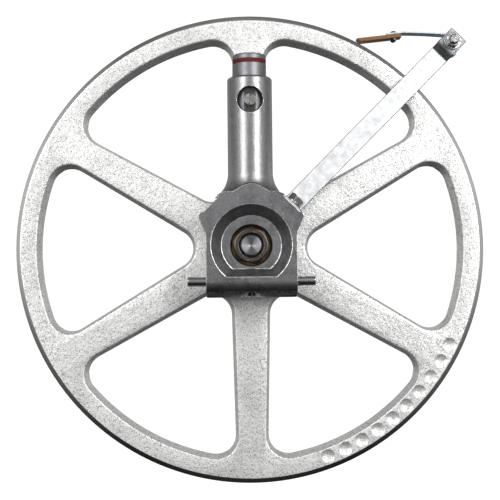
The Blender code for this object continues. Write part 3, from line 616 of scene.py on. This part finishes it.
def make_wheel():
    """The casting, turned as one piece, with its windows and its balance drillings cut out."""
    profile = filleted([
        (SEAT_R, HUB_FAR_Y),
        (HUB_R - 3 * MM, HUB_FAR_Y, 1.2 * MM),
        (HUB_R, WEB_FAR_Y, 3 * MM),
        (RIM_INNER_R + 1.5 * MM, WEB_FAR_Y),
        (RIM_INNER_R + 2.5 * MM, RIM_FAR_Y, 1.2 * MM),
        (TREAD_R - RIM_BEVEL, RIM_FAR_Y, 0.8 * MM),
        (TREAD_R, RIM_FAR_Y - RIM_BEVEL, 0.8 * MM),
        (TREAD_R, NEAR_Y + 2.6 * MM, 0.6 * MM),
        (TREAD_R - RIM_BEVEL, NEAR_Y, 1.0 * MM),
        (TREAD_R - RIM_BEVEL - 3.5 * MM, NEAR_Y, 1 * MM),
        (HUB_R + 2 * MM, NEAR_Y, 1.5 * MM),
        (HUB_R, HUB_NEAR_Y, 1.2 * MM),
        (SEAT_R, HUB_NEAR_Y, 0.5 * MM),
        (SEAT_R, LIP_Y[0]),
        (LIP_R, LIP_Y[0]),
        (LIP_R, LIP_Y[1]),
        (SEAT_R, LIP_Y[1]),
        (SEAT_R, GROOVE_Y[0]),
        (GROOVE_R, GROOVE_Y[0]),
        (GROOVE_R, GROOVE_Y[1]),
        (SEAT_R, GROOVE_Y[1]),
    ])
    wheel = lathe("wheel_casting", profile, on_axis(), cast, ground, segments=240)
    for i in range(SPOKES):
        cut(wheel, window_cutter(tau * i / SPOKES))
    round_windows(wheel)
    drill_dimples(wheel)
    for face in wheel.data.polygons:
        radius = hypot(face.center.x, face.center.z)
        turned = radius > TREAD_R - RIM_BEVEL - 0.3 * MM or radius < SEAT_R + 2 * MM
        face.material_index = GROUND if turned else CAST
    smooth(wheel, 26)
    stands_for(wheel, "wheel", "wheel_and_hub")


# ---- yoke

YOKE_NEAR_Y = -8.0 * MM
YOKE_FAR_Y = 33.0 * MM
YOKE_HALF = 38.1 * MM
YOKE_BOTTOM_Z = -43.5 * MM
FACET_S = 47.8 * MM
FACET_HALF = 9.5 * MM
POST_R = 19.05 * MM
POST_Y = 13.6 * MM
POST_TOP_Z = 143.0 * MM
POST_ROUND = 2.6 * MM
PLATE_TOP_Z = 70.0 * MM
FLARE_R = 25.0 * MM
FLARE_TOP_Z = 62.0 * MM
FLARE_SWEEP = 57
ARCH_HALF = 15
ARCH_LIFT = 0.35 * MM
RECESS_R = 33.8 * MM
FLOOR_R = 25.2 * MM
FLAT_Z = -26.5 * MM
RECESS_DEPTH = 9.2 * MM
WELL_R = 17.8 * MM
WELL_FLOOR_Y = 15.1 * MM
BARREL_R = 13.5 * MM
FOOT_SPOT_R = 9.75 * MM
BEYOND = 60.0 * MM  # outside the yoke on any side but the top
PIN_Y = 5.5 * MM
PIN_Z = -30.0 * MM
PIN_AXIS = moved((0, PIN_Y, PIN_Z)) @ ALONG_X
STOP_Z = 122.0 * MM
ARM_BOLT_Y = 18.0 * MM
MILLED, SATIN, WORN, SIDES, PAINTED_SHADE_WELL = range(5)


def upright():
    """A matrix whose own Z axis is the axis of the post."""
    return moved((0, POST_Y, 0))


def weigh_edges(yoke):
    """Rounds the outline's edges most, and the nut's well not at all."""
    bm = bmesh.new()
    bm.from_mesh(yoke.data)
    layers = bm.edges.layers.float
    layer = layers.get("bevel_weight_edge") or layers.new("bevel_weight_edge")
    for edge in bm.edges:
        if len(edge.link_faces) != 2 or edge.calc_face_angle(0) < radians(35):
            continue
        middle = (edge.verts[0].co + edge.verts[1].co) / 2
        from_axis = hypot(middle.x, middle.z)
        if from_axis < 20 * MM:
            continue
        outline = middle.y < YOKE_NEAR_Y + 0.3 * MM and from_axis > 35 * MM and middle.z < 48 * MM
        edge[layer] = 0.9 if outline and edge.calc_length() > 20 * MM else 0.4
    bm.to_mesh(yoke.data)
    bm.free()


def yoke_outline():
    """The plate seen from the camera, with its 45 degree seats and the arch over the flare."""
    root = sqrt(0.5)
    low = ((FACET_S + FACET_HALF) * root, (FACET_S - FACET_HALF) * root)
    step = 2.0 * MM * root
    right = [
        (YOKE_HALF, YOKE_BOTTOM_Z, 1.5 * MM),
        (YOKE_HALF, 10 * MM, 14 * MM),
        (44.3 * MM, 23.4 * MM, 2 * MM),
        (low[0] + step, low[1] + step, 0.6 * MM),
        (low[0], low[1]),
        (low[1], low[0]),
        (low[1] + step, low[0] + step, 0.6 * MM),
        (23 * MM, 44.6 * MM, 5 * MM),
    ]
    # where the milled face cuts the flare it ends in an arch
    for i in range(ARCH_HALF, -1, -1):
        x = i * MM
        reach = POST_R + FLARE_R - hypot(x, POST_Y - YOKE_NEAR_Y)
        right.append((x, FLARE_TOP_Z - sqrt(FLARE_R**2 - reach**2) + ARCH_LIFT))
    left = [(-point[0], *point[1:]) for point in reversed(right[:-1])]
    return [(x, -z) for x, z in filleted(right + left, True)]


def post_with_flare():
    """The round post with its flared foot, cut flat at the yoke's two faces."""
    centre = (POST_R + FLARE_R, FLARE_TOP_Z)
    flare = arc(centre, FLARE_R, radians(180), radians(180 + FLARE_SWEEP), 24)
    centre = (POST_R - POST_ROUND, POST_TOP_Z - POST_ROUND)
    top = arc(centre, POST_ROUND, radians(90), 0, 8)
    profile = [(0, POST_TOP_Z)] + top + flare + [(0, flare[-1][1])]
    post = lathe("cutter", profile, upright(), segments=144)
    low, high = -160 * MM, -20 * MM
    slab = [(-BEYOND, low), (BEYOND, low), (BEYOND, high), (-BEYOND, high)]
    near, far = YOKE_NEAR_Y + 0.4 * MM, YOKE_FAR_Y - 0.05 * MM
    return combine(post, prism("cutter", slab, near, far, on_axis()), "INTERSECT")


def recess_cutter():
    """The conical recess, with a flat across its foot."""
    over = 2.0 * MM
    slope = (RECESS_R - FLOOR_R) / RECESS_DEPTH
    cone = [(0, RECESS_DEPTH), (FLOOR_R, RECESS_DEPTH)]
    cone += [(RECESS_R + slope * over, -over), (0, -over)]
    recess = lathe("cutter", cone, on_axis(YOKE_NEAR_Y), segments=128)
    flat_at_floor = FLAT_Z * FLOOR_R / RECESS_R
    lean = (flat_at_floor - FLAT_Z) / RECESS_DEPTH
    wedge = [
        (-over * 2, FLAT_Z - lean * over * 2),
        (RECESS_DEPTH + over, flat_at_floor + lean * over),
        (RECESS_DEPTH + over, -60 * MM),
        (-over * 2, -60 * MM),
    ]
    at_face = SIDEWAYS @ moved((YOKE_NEAR_Y, 0, 0))
    return cut(recess, prism("cutter", wedge, -BEYOND, BEYOND, at_face))


def yoke_slot(centre, normal):
    """The material slot of a face of the yoke."""
    from_axis = hypot(centre.x, centre.z)
    # the walls of the nut's deep well take the dark grey: painted shade
    if from_axis < WELL_R + 0.4 * MM and centre.y > 1.5 * MM:
        return PAINTED_SHADE_WELL
    if centre.z < -37 * MM and hypot(centre.x, centre.y - PIN_Y) < FOOT_SPOT_R + 0.15 * MM:
        return WORN
    between_faces = YOKE_NEAR_Y + 0.05 * MM < centre.y < YOKE_FAR_Y - MM
    if centre.z > 43 * MM and between_faces and abs(centre.x) < 26 * MM:
        return SATIN
    if abs(normal.y) < 0.3 and centre.y > YOKE_NEAR_Y + 0.5 * MM and from_axis > 36 * MM:
        return SIDES
    return MILLED


def make_yoke():
    """The plate and hinge barrel, joined to the post, less the recess and the bores."""
    yoke = prism("yoke_body", yoke_outline(), YOKE_NEAR_Y - MM, YOKE_FAR_Y + MM, on_axis())
    for material in (milled, satin, edge_material, cast_iron, dark_oil_and_painted_shade):
        yoke.data.materials.append(material)
    side = arc((PIN_Y, PIN_Z), BARREL_R, radians(180), radians(270), 20)
    side += [(YOKE_FAR_Y, YOKE_BOTTOM_Z), (YOKE_FAR_Y, PLATE_TOP_Z), (YOKE_NEAR_Y, PLATE_TOP_Z)]
    combine(yoke, prism("cutter", side, -BEYOND, BEYOND, SIDEWAYS), "INTERSECT")
    combine(yoke, post_with_flare(), "UNION")
    foot = moved((0, PIN_Y, 0))
    at_bolts = moved((0, ARM_BOLT_Y, 0))
    cut(
        yoke,
        recess_cutter(),
        # the nut's well and the bores for the spindle, the pin and its grease
        rod(WELL_R, -4 * MM, WELL_FLOOR_Y, on_axis(), 96),
        rod(12.8 * MM, 5 * MM, 45 * MM, on_axis(), 96),
        rod(4.1 * MM, -BEYOND, BEYOND, PIN_AXIS, 48),
        rod(FOOT_SPOT_R, -BEYOND, -37.8 * MM, foot),
        rod(3.2 * MM, -40 * MM, PIN_Z, foot, 32),
        # the plunger's bore and the stop screw's window
        rod(14.4 * MM, 64 * MM, 150 * MM, upright(), 96),
        rod(11 * MM, -15 * MM, 9 * MM, on_axis(0, 0, STOP_Z), 72),
    )
    for turn in (ARM_ANGLE, -ARM_ANGLE):
        cut(yoke, rod(3.6 * MM, 34 * MM, BEYOND, at_bolts @ Matrix.Rotation(turn, 4, "Y"), 32))
    for face in yoke.data.polygons:
        face.material_index = yoke_slot(face.center, face.normal)
    weigh_edges(yoke)
    rounded = bevel(yoke, 1.1 * MM, 2, edge_material=WORN)
    rounded.limit_method = "WEIGHT"
    yoke.data.set_sharp_from_angle(angle=radians(35))
    stands_for(yoke, "yoke_casting", "yoke")


make_wheel()
make_yoke()

# ---- spindle, pin and plunger


THREAD_R = 9.525 * MM


def threaded(radius, low, high, pitch=1.6 * MM, depth=0.75 * MM):
    """Profile points of a thread, from high to low."""
    points = []
    count = int((high - low) / pitch)
    for i in range(count):
        top = high - i * pitch
        points += [(radius, top), (radius, top - 0.2 * pitch)]
        points += [(radius - depth, top - 0.55 * pitch), (radius - depth, top - 0.65 * pitch)]
    return points + [(radius, low)]


def make_spindle():
    """The turned spindle, with its threaded end towards the camera."""
    shoulder = 15.7 * MM
    end = 71.6 * MM
    bore_r = 12.7 * MM
    profile = [(0, end), (bore_r - 0.8 * MM, end), (bore_r, end - 0.8 * MM), (bore_r, 37.8 * MM)]
    profile += [(17.6 * MM, 37.8 * MM), (17.6 * MM, 33.2 * MM), (bore_r, 33.2 * MM)]
    profile += [(bore_r, shoulder), (THREAD_R, shoulder)]
    profile += threaded(THREAD_R, 1.3 * MM, shoulder - 0.5 * MM)
    profile += [(THREAD_R - 1.3 * MM, 0.12 * MM), (THREAD_R - 1.5 * MM, 0)]
    profile += [(0.25 * MM, 0), (0, 0.1 * MM)]
    spindle = lathe("spindle_turned", profile, on_axis(), faced, dark_oil_and_painted_shade, segments=128)
    cut(spindle, rod(4.1 * MM, end - 26 * MM, end + MM, on_axis()))
    for face in spindle.data.polygons:
        radius = hypot(face.center.x, face.center.z)
        face.material_index = 1 if face.center.y < shoulder and radius > THREAD_R - 1.4 * MM else 0
    smooth(spindle, 25)
    stands_for(spindle, "spindle", "yoke")


def make_spindle_nut():
    """The jam nut with its two punch marks, and the washer under it."""
    low, high = 1.7 * MM, 12.3 * MM
    turn = radians(12)
    nut = chamfered_hex("spindle_jam_nut", 28.575 * MM, low, high, on_axis(), brown, turn)
    bore_r = THREAD_R + 0.1 * MM
    bore = [(0, high + MM), (bore_r, high + MM), (bore_r, low + MM)]
    bore += [(THREAD_R + 1.3 * MM, low - 0.2 * MM), (0, low - 0.2 * MM)]
    cut(nut, lathe("cutter", bore, on_axis()))
    punch = [(0, 0.6 * MM), (0.9 * MM, -0.1 * MM), (0.9 * MM, -0.6 * MM), (0, -0.6 * MM)]
    for angle in (radians(-75), radians(105)):
        x, z = 11.9 * MM * cos(angle), 11.9 * MM * sin(angle)
        cut(nut, lathe("cutter", punch, on_axis(low, -x, z), segments=24))
    bevel(nut, 0.3 * MM, 2, 25)
    stands_for(nut, "spindle_nut", "yoke")
    radii, ends, rounds = (bore_r, 17.2 * MM), (12.6 * MM, 14.9 * MM), (0.7 * MM, 0.5 * MM)
    washer = band("spindle_flat_washer", radii, ends, rounds, on_axis(), yellow)
    stands_for(washer, "spindle_washer", "yoke")


def make_pin():
    """The hinge pin, the same at both ends."""
    end = 53.8 * MM
    half = filleted([(0, end), (4 * MM, end, 0.9 * MM), (4 * MM, 0)])
    profile = half[:-1] + [(radius, -along) for radius, along in reversed(half[:-1])]
    pin = lathe("hinge_pin_turned", profile, PIN_AXIS, polished, segments=64)
    stands_for(pin, "hinge_pin", "saw_head_pin")


def make_plunger():
    """The plunger, its red band and the stop screw in its side."""
    top, foot = 162.6 * MM, 104.0 * MM
    outer = 14.3 * MM
    low, high = 154.6 * MM, 157.8 * MM
    profile = filleted([
        (0, top),
        (outer, top, 1.6 * MM),
        (outer, high, 0.3 * MM),
        (outer - 1.6 * MM, high),
        (outer - 1.6 * MM, low),
        (outer, low, 0.3 * MM),
        (outer, foot, 1.0 * MM),
        (0, foot),
    ])
    plunger = lathe("plunger_ground", profile, upright(), ground_steel, segments=128)
    head_y = POST_Y - outer - 4.4 * MM
    tap = on_axis(head_y, 0, STOP_Z)
    spot_r = 11.6 * MM
    cut(plunger, rod(4.1 * MM, -2 * MM, 22 * MM, tap, 48), rod(spot_r, -2 * MM, 5.4 * MM, tap, 72))
    # the plunger's face round the stop screw, seen through the post's window, takes the dark grey:
    # painted shade
    plunger.data.materials.append(dark_oil_and_painted_shade)
    for face in plunger.data.polygons:
        inside = hypot(face.center.x, face.center.y - POST_Y) < outer - 0.3 * MM
        at_screw = hypot(face.center.x, face.center.z - STOP_Z) < spot_r + 0.05 * MM
        face.material_index = 1 if inside and at_screw and face.center.y < 22 * MM else 0
    smooth(plunger, 25)
    stands_for(plunger, "tension_plunger", "plunger")
    radii, ends = (outer - 1.5 * MM, outer - 0.1 * MM), (low + 0.2 * MM, high - 0.2 * MM)
    indicator = band("indicator_band", radii, ends, (0.4 * MM, 0.4 * MM), upright(), red, 128)
    stands_for(indicator, "tension_indicator_ring", "plunger")
    seat = moved((0, head_y + 5.2 * MM, STOP_Z)) @ TOWARDS_CAMERA
    turn = radians(6)
    screw = chamfered_hex("stop_screw", 12.7 * MM, 0, 4.8 * MM, seat, dull_plate, turn)
    # a shallow dish, a raised middle and a screwdriver slot in the head
    dish = [(0, 4.3 * MM), (2.1 * MM, 4.4 * MM), (4.3 * MM, 4.15 * MM)]
    dish += [(5.1 * MM, 5.2 * MM), (0, 5.2 * MM)]
    cut(screw, lathe("cutter", dish, seat, segments=64))
    lean = seat @ Matrix.Rotation(radians(80), 4, "Z")
    cut(screw, prism("cutter", rectangle(4.9 * MM, 0.75 * MM), 2.6 * MM, 8 * MM, lean))
    combine(screw, rod(3.9 * MM, -15 * MM, 1 * MM, seat, 48), "UNION")
    bevel(screw, 0.25 * MM, 2, 30)
    stands_for(screw, "plunger_stop_screw", "plunger")


def make_tension_coil():
    """The spring under the plunger, a smooth-shaded copy of the CAD node's mesh."""
    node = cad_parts["tension_spring"]
    coil = add_object("tension_coil", node.data.copy())
    coil.matrix_world = node.matrix_world
    coil.data.materials.clear()
    coil.data.materials.append(spring)
    smooth(coil, 50)
    stands_for(coil, "tension_spring", "yoke")
    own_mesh(coil)


# ---- scraper arm

ARM_WIDTH = 17.5 * MM
ARM_THICK = 3.0 * MM
ARM_Y = 32.6 * MM
TAB_Y = 27.6 * MM
ARM_END_S = 258.4 * MM
JOGGLE_S = 241.3 * MM
PIVOT_S = 250.0 * MM
PIVOT = on_arm(PIVOT_S).translation


def strip(name, path, width, thickness, place, *materials):
    """A bent strip on the middle line (x, y). Its width runs from 0 along the own Z axis."""
    sides = ([], [])
    for i, point in enumerate(path):
        here = Vector(point)
        before = Vector(path[max(0, i - 1)])
        after = Vector(path[min(len(path) - 1, i + 1)])
        first = (here - before).normalized() if i else (after - here).normalized()
        second = (after - here).normalized() if i < len(path) - 1 else first
        way = (first + second).normalized()
        stretch = 1 / max(0.3, way.dot(first))
        normal = Vector((-way.y, way.x)) * (thickness / 2 * stretch)
        sides[0].append(tuple(here + normal))
        sides[1].append(tuple(here - normal))
    return prism(name, sides[0] + sides[1][::-1], 0, width, place, *materials)


def make_arm():
    """The bent bar from the yoke's right-hand seat to the tab, and its bolt and lock washer."""
    out = Vector((sin(ARM_ANGLE), 0, cos(ARM_ANGLE)))
    away = Vector((0, 1, 0))
    across = out.cross(away)
    lie = Matrix((out, away, across)).transposed().to_4x4() @ moved((0, 0, -ARM_WIDTH / 2))
    foot_s = FACET_S + 0.3 * MM + ARM_THICK / 2
    path = filleted([
        (foot_s, 6 * MM),
        (foot_s, ARM_Y, 4.5 * MM),
        (JOGGLE_S - 6 * MM, ARM_Y, 3 * MM),
        (JOGGLE_S, TAB_Y, 3 * MM),
        (ARM_END_S, TAB_Y),
    ], steps=8)
    arm = strip("scraper_bar", path, ARM_WIDTH, ARM_THICK, lie, bar, bar_edge, tab_steel)
    cut(arm, rod(4.2 * MM, 40 * MM, 62 * MM, on_arm(0, ARM_BOLT_Y), 48))
    cut(arm, rod(4.1 * MM, 0, 35 * MM, on_axis(0, PIVOT.x, PIVOT.z), 48))
    for face in arm.data.polygons:
        if (lie.inverted() @ face.center).x > JOGGLE_S - 5 * MM:
            face.material_index = 2
    # the bar's rounded edges take the dark grey of slot 1: painted shade
    bevel(arm, 0.5 * MM, 2, 50, edge_material=1)
    stands_for(arm, "scraper_arm", "yoke")

    low = FACET_S + 3.5 * MM
    radii, ends, rounds = (4.2 * MM, 7 * MM), (low, low + 1.8 * MM), (0.3 * MM, 0.3 * MM)
    washer = band("arm_spring_washer", radii, ends, rounds, on_arm(0, ARM_BOLT_Y), plated, 72)
    split = [(3 * MM, -0.2 * MM), (9 * MM, -0.8 * MM), (9 * MM, 0.2 * MM), (3 * MM, 0.8 * MM)]
    cut(washer, prism("cutter", split, 50 * MM, 56 * MM, on_arm(0, ARM_BOLT_Y)))
    smooth(washer, 25)
    stands_for(washer, "arm_lock_washer", "yoke")
    seat = on_arm(FACET_S + 5.5 * MM, ARM_BOLT_Y)
    turn = radians(18)
    bolt = chamfered_hex("arm_hex_bolt", 12.7 * MM, 0, 4.9 * MM, seat, plated, turn, (False, True))
    shank = [(0, MM), (3.5 * MM, MM), (3.5 * MM, -6 * MM)]
    shank += threaded(3.5 * MM, -17.4 * MM, -6 * MM, 1.4 * MM, 0.45 * MM)
    shank += [(3 * MM, -18 * MM), (0, -18 * MM)]
    combine(bolt, lathe("cutter", shank, seat, segments=48), "UNION")
    bevel(bolt, 0.2 * MM, 2, 30)
    stands_for(bolt, "arm_bolt", "yoke")


def make_pivot():
    """The slotted stud that the scraper turns on, with its washer and nut on the tab."""
    tab_near = TAB_Y - ARM_THICK / 2
    near_end = tab_near - 10.5 * MM
    far_end = 54.2 * MM
    axis = on_axis(0, PIVOT.x, PIVOT.z)
    profile = [(0, far_end + 3 * MM), (6 * MM, far_end + 3 * MM), (6.5 * MM, far_end + 2.5 * MM)]
    profile += [(6.5 * MM, far_end), (4 * MM, far_end), (4 * MM, tab_near)]
    profile += threaded(4 * MM, near_end + 0.8 * MM, tab_near - MM, 1.3 * MM, 0.5 * MM)
    profile += [(3.2 * MM, near_end), (0, near_end)]
    stud = lathe("pivot_stud", profile, axis, dull_plate, segments=64)
    lean = axis @ Matrix.Rotation(radians(-35), 4, "Z")
    slot = rectangle(9 * MM, 0.6 * MM)
    cut(stud, prism("cutter", slot, near_end - 3 * MM, near_end + 1.4 * MM, lean))
    smooth(stud, 25)
    stands_for(stud, "scraper_pivot_screw", "yoke")
    low = tab_near - 1.4 * MM
    radii, ends, rounds = (4.2 * MM, 7.4 * MM), (low, low + 1.2 * MM), (0.4 * MM, 0.3 * MM)
    washer = band("pivot_flat_washer", radii, ends, rounds, axis, plated, 72)
    stands_for(washer, "scraper_pivot_washer", "yoke")
    ends = (low - 5.4 * MM, low - 0.2 * MM)
    nut = chamfered_hex("pivot_hex_nut", 11.1 * MM, *ends, axis, dull_plate, 0.3)
    cut(nut, rod(4.1 * MM, low - 9 * MM, low + 5 * MM, axis, 48))
    bevel(nut, 0.2 * MM, 2, 30)
    stands_for(nut, "scraper_pivot_nut", "yoke")


# ---- scraper

EYE_R = 10.0 * MM
LEAF_THICK = 1.3 * MM
LEAF_NEAR_Y = 40.0 * MM
LEAF_WIDTH = 12.0 * MM
PAD_LENGTH = 39.5 * MM
PAD_THICK = 3.2 * MM
PAD_ANGLE = radians(6.0)
PAD_CORNER = Vector((134.4 * MM, 187.3 * MM))
PAD_TAPER = 3.4 * MM
PAD_SCREW_S = 6.5 * MM
PAD_SCREWS_Y = (3.2 * MM, 8.8 * MM)
EYE_START = radians(150)
EYE_TOP = radians(90 - 3.2)
LEAF_STEPS = 12
OVER = Vector((-cos(PAD_ANGLE), -sin(PAD_ANGLE)))
DOWN = Vector((sin(PAD_ANGLE), -cos(PAD_ANGLE)))


def fasten_pad(leaf, pad):
    """The two screws and nuts, with their holes in the leaf and the pad."""
    down3 = Vector((DOWN.x, 0, DOWN.y))
    along = Vector((0, 1, 0))
    turn = Matrix((along, down3.cross(along), down3)).transposed().to_4x4()
    middle = PAD_CORNER + OVER * PAD_SCREW_S
    for i, y in enumerate(PAD_SCREWS_Y):
        place = moved((middle.x, LEAF_NEAR_Y + y, middle.y)) @ turn
        cut(leaf, rod(1.3 * MM, -4 * MM, 4 * MM, place, 32))
        cut(pad, rod(1.3 * MM, -4 * MM, 8 * MM, place, 32))
        head = -0.15 * MM - LEAF_THICK - 0.2 * MM
        end = PAD_THICK + 2.6 * MM
        # the own Z axis points down, so the profile's outer side runs from the end up to the head
        profile = [(0, end), (0.9 * MM, end)]
        profile += threaded(1.1 * MM, head + 0.2 * MM, end - 0.2 * MM, 0.6 * MM, 0.15 * MM)
        profile += [(1.1 * MM, head), (2.5 * MM, head)]
        profile += [(2.5 * MM, head - 0.4 * MM), (2.2 * MM, head - 1.1 * MM)]
        profile += [(1.3 * MM, head - 1.5 * MM), (0, head - 1.6 * MM)]
        screw = lathe(f"pad_slotted_screw_{i + 1}", profile, place, oxide, segments=48)
        groove = rectangle(0.3 * MM, 4 * MM)
        cut(screw, prism("cutter", groove, head - 3 * MM, head - 0.9 * MM, place))
        smooth(screw, 25)
        stands_for(screw, f"pad_screw_{i + 1}", "scraper")
        low = PAD_THICK + 0.2 * MM
        high = low + 1.7 * MM
        nut = chamfered_hex(f"pad_hex_nut_{i + 1}", 4.4 * MM, low, high, place, oxide, 0.3)
        cut(nut, rod(1.2 * MM, low - MM, low + 4 * MM, place, 32))
        smooth(nut, 25)
        stands_for(nut, f"pad_nut_{i + 1}", "scraper")


def make_scraper():
    """The spring leaf from its eye round the pivot to the pad on the tread."""
    eye = EYE_R - LEAF_THICK / 2
    line = arc((PIVOT.x, PIVOT.z), eye, EYE_START - tau, EYE_TOP, 48)
    bend = PAD_CORNER - DOWN * (LEAF_THICK / 2 + 0.15 * MM)
    start = Vector(line[-1])
    corner = bend - OVER * 2 * MM
    sag = Vector((-DOWN.x, -DOWN.y)) * 0.9 * MM
    for i in range(1, LEAF_STEPS):
        t = i / LEAF_STEPS
        line.append(tuple(start.lerp(corner, t) + sag * 4 * t * (1 - t) * 0.5))
    line += [tuple(corner), tuple(bend + OVER * 2 * MM), tuple(bend + OVER * 13 * MM)]
    flat = [(x, -z) for x, z in line]
    place = on_axis(LEAF_NEAR_Y)
    leaf = strip("scraper_spring_leaf", flat, LEAF_WIDTH, LEAF_THICK, place, blued, edge_material)
    pad_outline = [
        PAD_CORNER,
        PAD_CORNER + OVER * PAD_LENGTH,
        PAD_CORNER + OVER * (PAD_LENGTH - PAD_TAPER) + DOWN * PAD_THICK,
        PAD_CORNER + DOWN * PAD_THICK,
    ]
    flat = [(x, -z) for x, z in pad_outline]
    pad = prism("scraper_bar_pad", flat, 0, LEAF_WIDTH, place, phenolic)
    fasten_pad(leaf, pad)
    bevel(leaf, 0.15 * MM, 1, 50, edge_material=1)
    bevel(pad, 0.3 * MM, 2, 40)
    stands_for(leaf, "scraper_leaf", "scraper")
    stands_for(pad, "scraper_pad", "scraper")


# ---- hub cap


def make_hub_cap():
    """The thin dust cap pressed in the far end of the hub."""
    top = 86.0 * MM
    cap_r = BEARING_R - 0.2 * MM
    brim = HUB_FAR_Y + 0.2 * MM
    profile = filleted([
        (0, top),
        (15 * MM, top - 0.6 * MM, 18 * MM),
        (cap_r, top - 4 * MM, 4 * MM),
        (cap_r, brim + 1.2 * MM, 0.8 * MM),
        (cap_r + 3.5 * MM, brim + 1.2 * MM, 0.4 * MM),
        (cap_r + 3.5 * MM, brim, 0.3 * MM),
        (cap_r, brim),
        (cap_r, HUB_FAR_Y - 0.6 * MM),
        (cap_r - 1.2 * MM, HUB_FAR_Y - 0.6 * MM),
        (cap_r - 1.2 * MM, top - 5 * MM, 3 * MM),
        (15 * MM, top - 1.9 * MM, 16 * MM),
        (0, top - 1.2 * MM),
    ])
    cap = lathe("hub_dust_cap", profile, on_axis(), plated, segments=144)
    stands_for(cap, "hub_cap", "wheel_and_hub")


make_spindle()
make_spindle_nut()
make_pin()
make_plunger()
make_tension_coil()
make_arm()
make_pivot()
make_scraper()
make_hub_cap()

# ---- CAD nodes that stay

bearing_parts = [
    f"{end}_bearing_{part}"
    for end in ("rear", "front")
    for part in ("outer_ring", "inner_ring", "balls_and_cage")
]
for material, names in (
    (oxide, ["hinge_grease_plug", "bearing_retaining_ring", "rear_grease_shield"]),
    (plated, ["spring_seat", "bearing_spacer", "spindle_end_screw", "spindle_end_washer"]),
    (spring, ["scraper_torsion_spring"]),
    (bearing, ["scraper_bushing", *bearing_parts]),
):
    for name in names:
        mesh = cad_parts[name].data
        mesh.materials.clear()
        mesh.materials.append(material)

# ---- floor, light, camera

CAMERA_DISTANCE = 1.0
CAMERA_AZIMUTH = radians(-1.0)
CAMERA_ELEVATION = radians(-2.6)
CAMERA_ROLL = radians(-0.6)
SENSOR_WIDTH = 36
LENS = 82.65
AIM = Vector((-0.0005, 0.042, -0.0021))
FLOOR_SIZE = 30
FLOOR_Z = -0.45
SOFTBOX_TARGET = (0, 0, 0.02)
SOFTBOX_SIZE = (0.5, 1.3)


def make_floor():
    """A pale floor well below the object, which only the camera sees."""
    bm = bmesh.new()
    place = moved((0, 0, FLOOR_Z))
    bmesh.ops.create_grid(bm, x_segments=1, y_segments=1, size=FLOOR_SIZE, matrix=place)
    finish = Finish("pale_floor", (0.93, 0.93, 0.93), 0.8, 0.0)
    finish.tint(finish.noise(3, 2, 0.5), 1.0, (0.3, 0.99), (0.7, 1.0))
    set_inputs(finish.shader, {"Emission Color": (1, 1, 1, 1), "Emission Strength": 0.8})
    floor = new_object("floor", bm, finish.material)
    # reflections and bounced light see the dark lower half of the world instead
    floor.visible_glossy = False
    floor.visible_diffuse = False


def make_softbox(name, place, power):
    """A tall rectangular light that faces the object."""
    data = bpy.data.lights.new(name, "AREA")
    data.shape = "RECTANGLE"
    data.size, data.size_y = SOFTBOX_SIZE
    data.energy = power
    light = add_object(name, data)
    light.location = place
    way = Vector(SOFTBOX_TARGET) - Vector(place)
    light.rotation_euler = way.to_track_quat("-Z", "Y").to_euler()


def make_world():
    """A studio that is bright at the sides and dark below, but plain white to the camera."""
    world = bpy.data.worlds.new("studio")
    bpy.context.scene.world = world
    world.use_nodes = True
    tree = world.node_tree
    tree.nodes.clear()
    link = tree.links.new

    def node(kind):
        return tree.nodes.new("ShaderNode" + kind)

    def shaded(value, low, *stops):
        """A grey for the value, which goes from low to 1."""
        place = node("MapRange")
        place.inputs["From Min"].default_value = low
        link(value, place.inputs["Value"])
        ramp = node("ValToRGB")
        set_stops(ramp, [((stop - low) / (1 - low), shade) for stop, shade in stops])
        link(place.outputs["Result"], ramp.inputs["Fac"])
        return ramp.outputs["Color"]

    def multiplied(first, second):
        mix = node("VectorMath")
        mix.operation = "MULTIPLY"
        link(first, mix.inputs[0])
        link(second, mix.inputs[1])
        return mix.outputs["Vector"]

    split = node("SeparateXYZ")
    link(node("TexCoord").outputs["Generated"], split.inputs["Vector"])
    sideways = node("Math")
    sideways.operation = "ABSOLUTE"
    link(split.outputs["X"], sideways.inputs[0])
    stops = ((0, 0.54), (0.25, 0.45), (0.45, 0.28), (0.75, 0.85))
    sides = shaded(sideways.outputs["Value"], 0, *stops)
    stops = ((-0.75, 0.05), (-0.32, 0.22), (0.0, 0.8), (0.4, 1.0), (0.75, 0.6))
    height = shaded(split.outputs["Z"], -1, *stops)
    depth = shaded(split.outputs["Y"], -1, (-0.5, 1.0), (0.0, 0.45), (0.4, 0.4), (0.8, 1.1))
    light = multiplied(multiplied(sides, height), depth)
    lit = node("Background")
    link(light, lit.inputs["Color"])
    seen = node("Background")
    set_inputs(seen, {"Color": (1, 1, 1, 1), "Strength": 1.1})
    mix = node("MixShader")
    link(node("LightPath").outputs["Is Camera Ray"], mix.inputs["Fac"])
    link(lit.outputs["Background"], mix.inputs[1])
    link(seen.outputs["Background"], mix.inputs[2])
    link(mix.outputs["Shader"], node("OutputWorld").inputs["Surface"])


def make_camera():
    """The camera looks at the wheel almost square on, from a little below and to the left."""
    data = bpy.data.cameras.new("camera")
    data.sensor_width = SENSOR_WIDTH
    data.lens = LENS
    camera = add_object("camera", data)
    flat = cos(CAMERA_ELEVATION)
    up = sin(CAMERA_ELEVATION)
    towards = Vector((flat * sin(CAMERA_AZIMUTH), -flat * cos(CAMERA_AZIMUTH), up))
    camera.location = AIM + towards * CAMERA_DISTANCE
    turn = (-towards).to_track_quat("-Z", "Y").to_matrix().to_4x4()
    turn = turn @ Matrix.Rotation(CAMERA_ROLL, 4, "Z")
    camera.rotation_euler = turn.to_euler()
    bpy.context.scene.camera = camera


bpy.context.scene.view_settings.view_transform = "Standard"
make_floor()
make_softbox("left_softbox", (-0.95, -1.35, 0.6), 13)
make_softbox("right_softbox", (0.95, -1.35, 0.6), 17)
make_world()
make_camera()
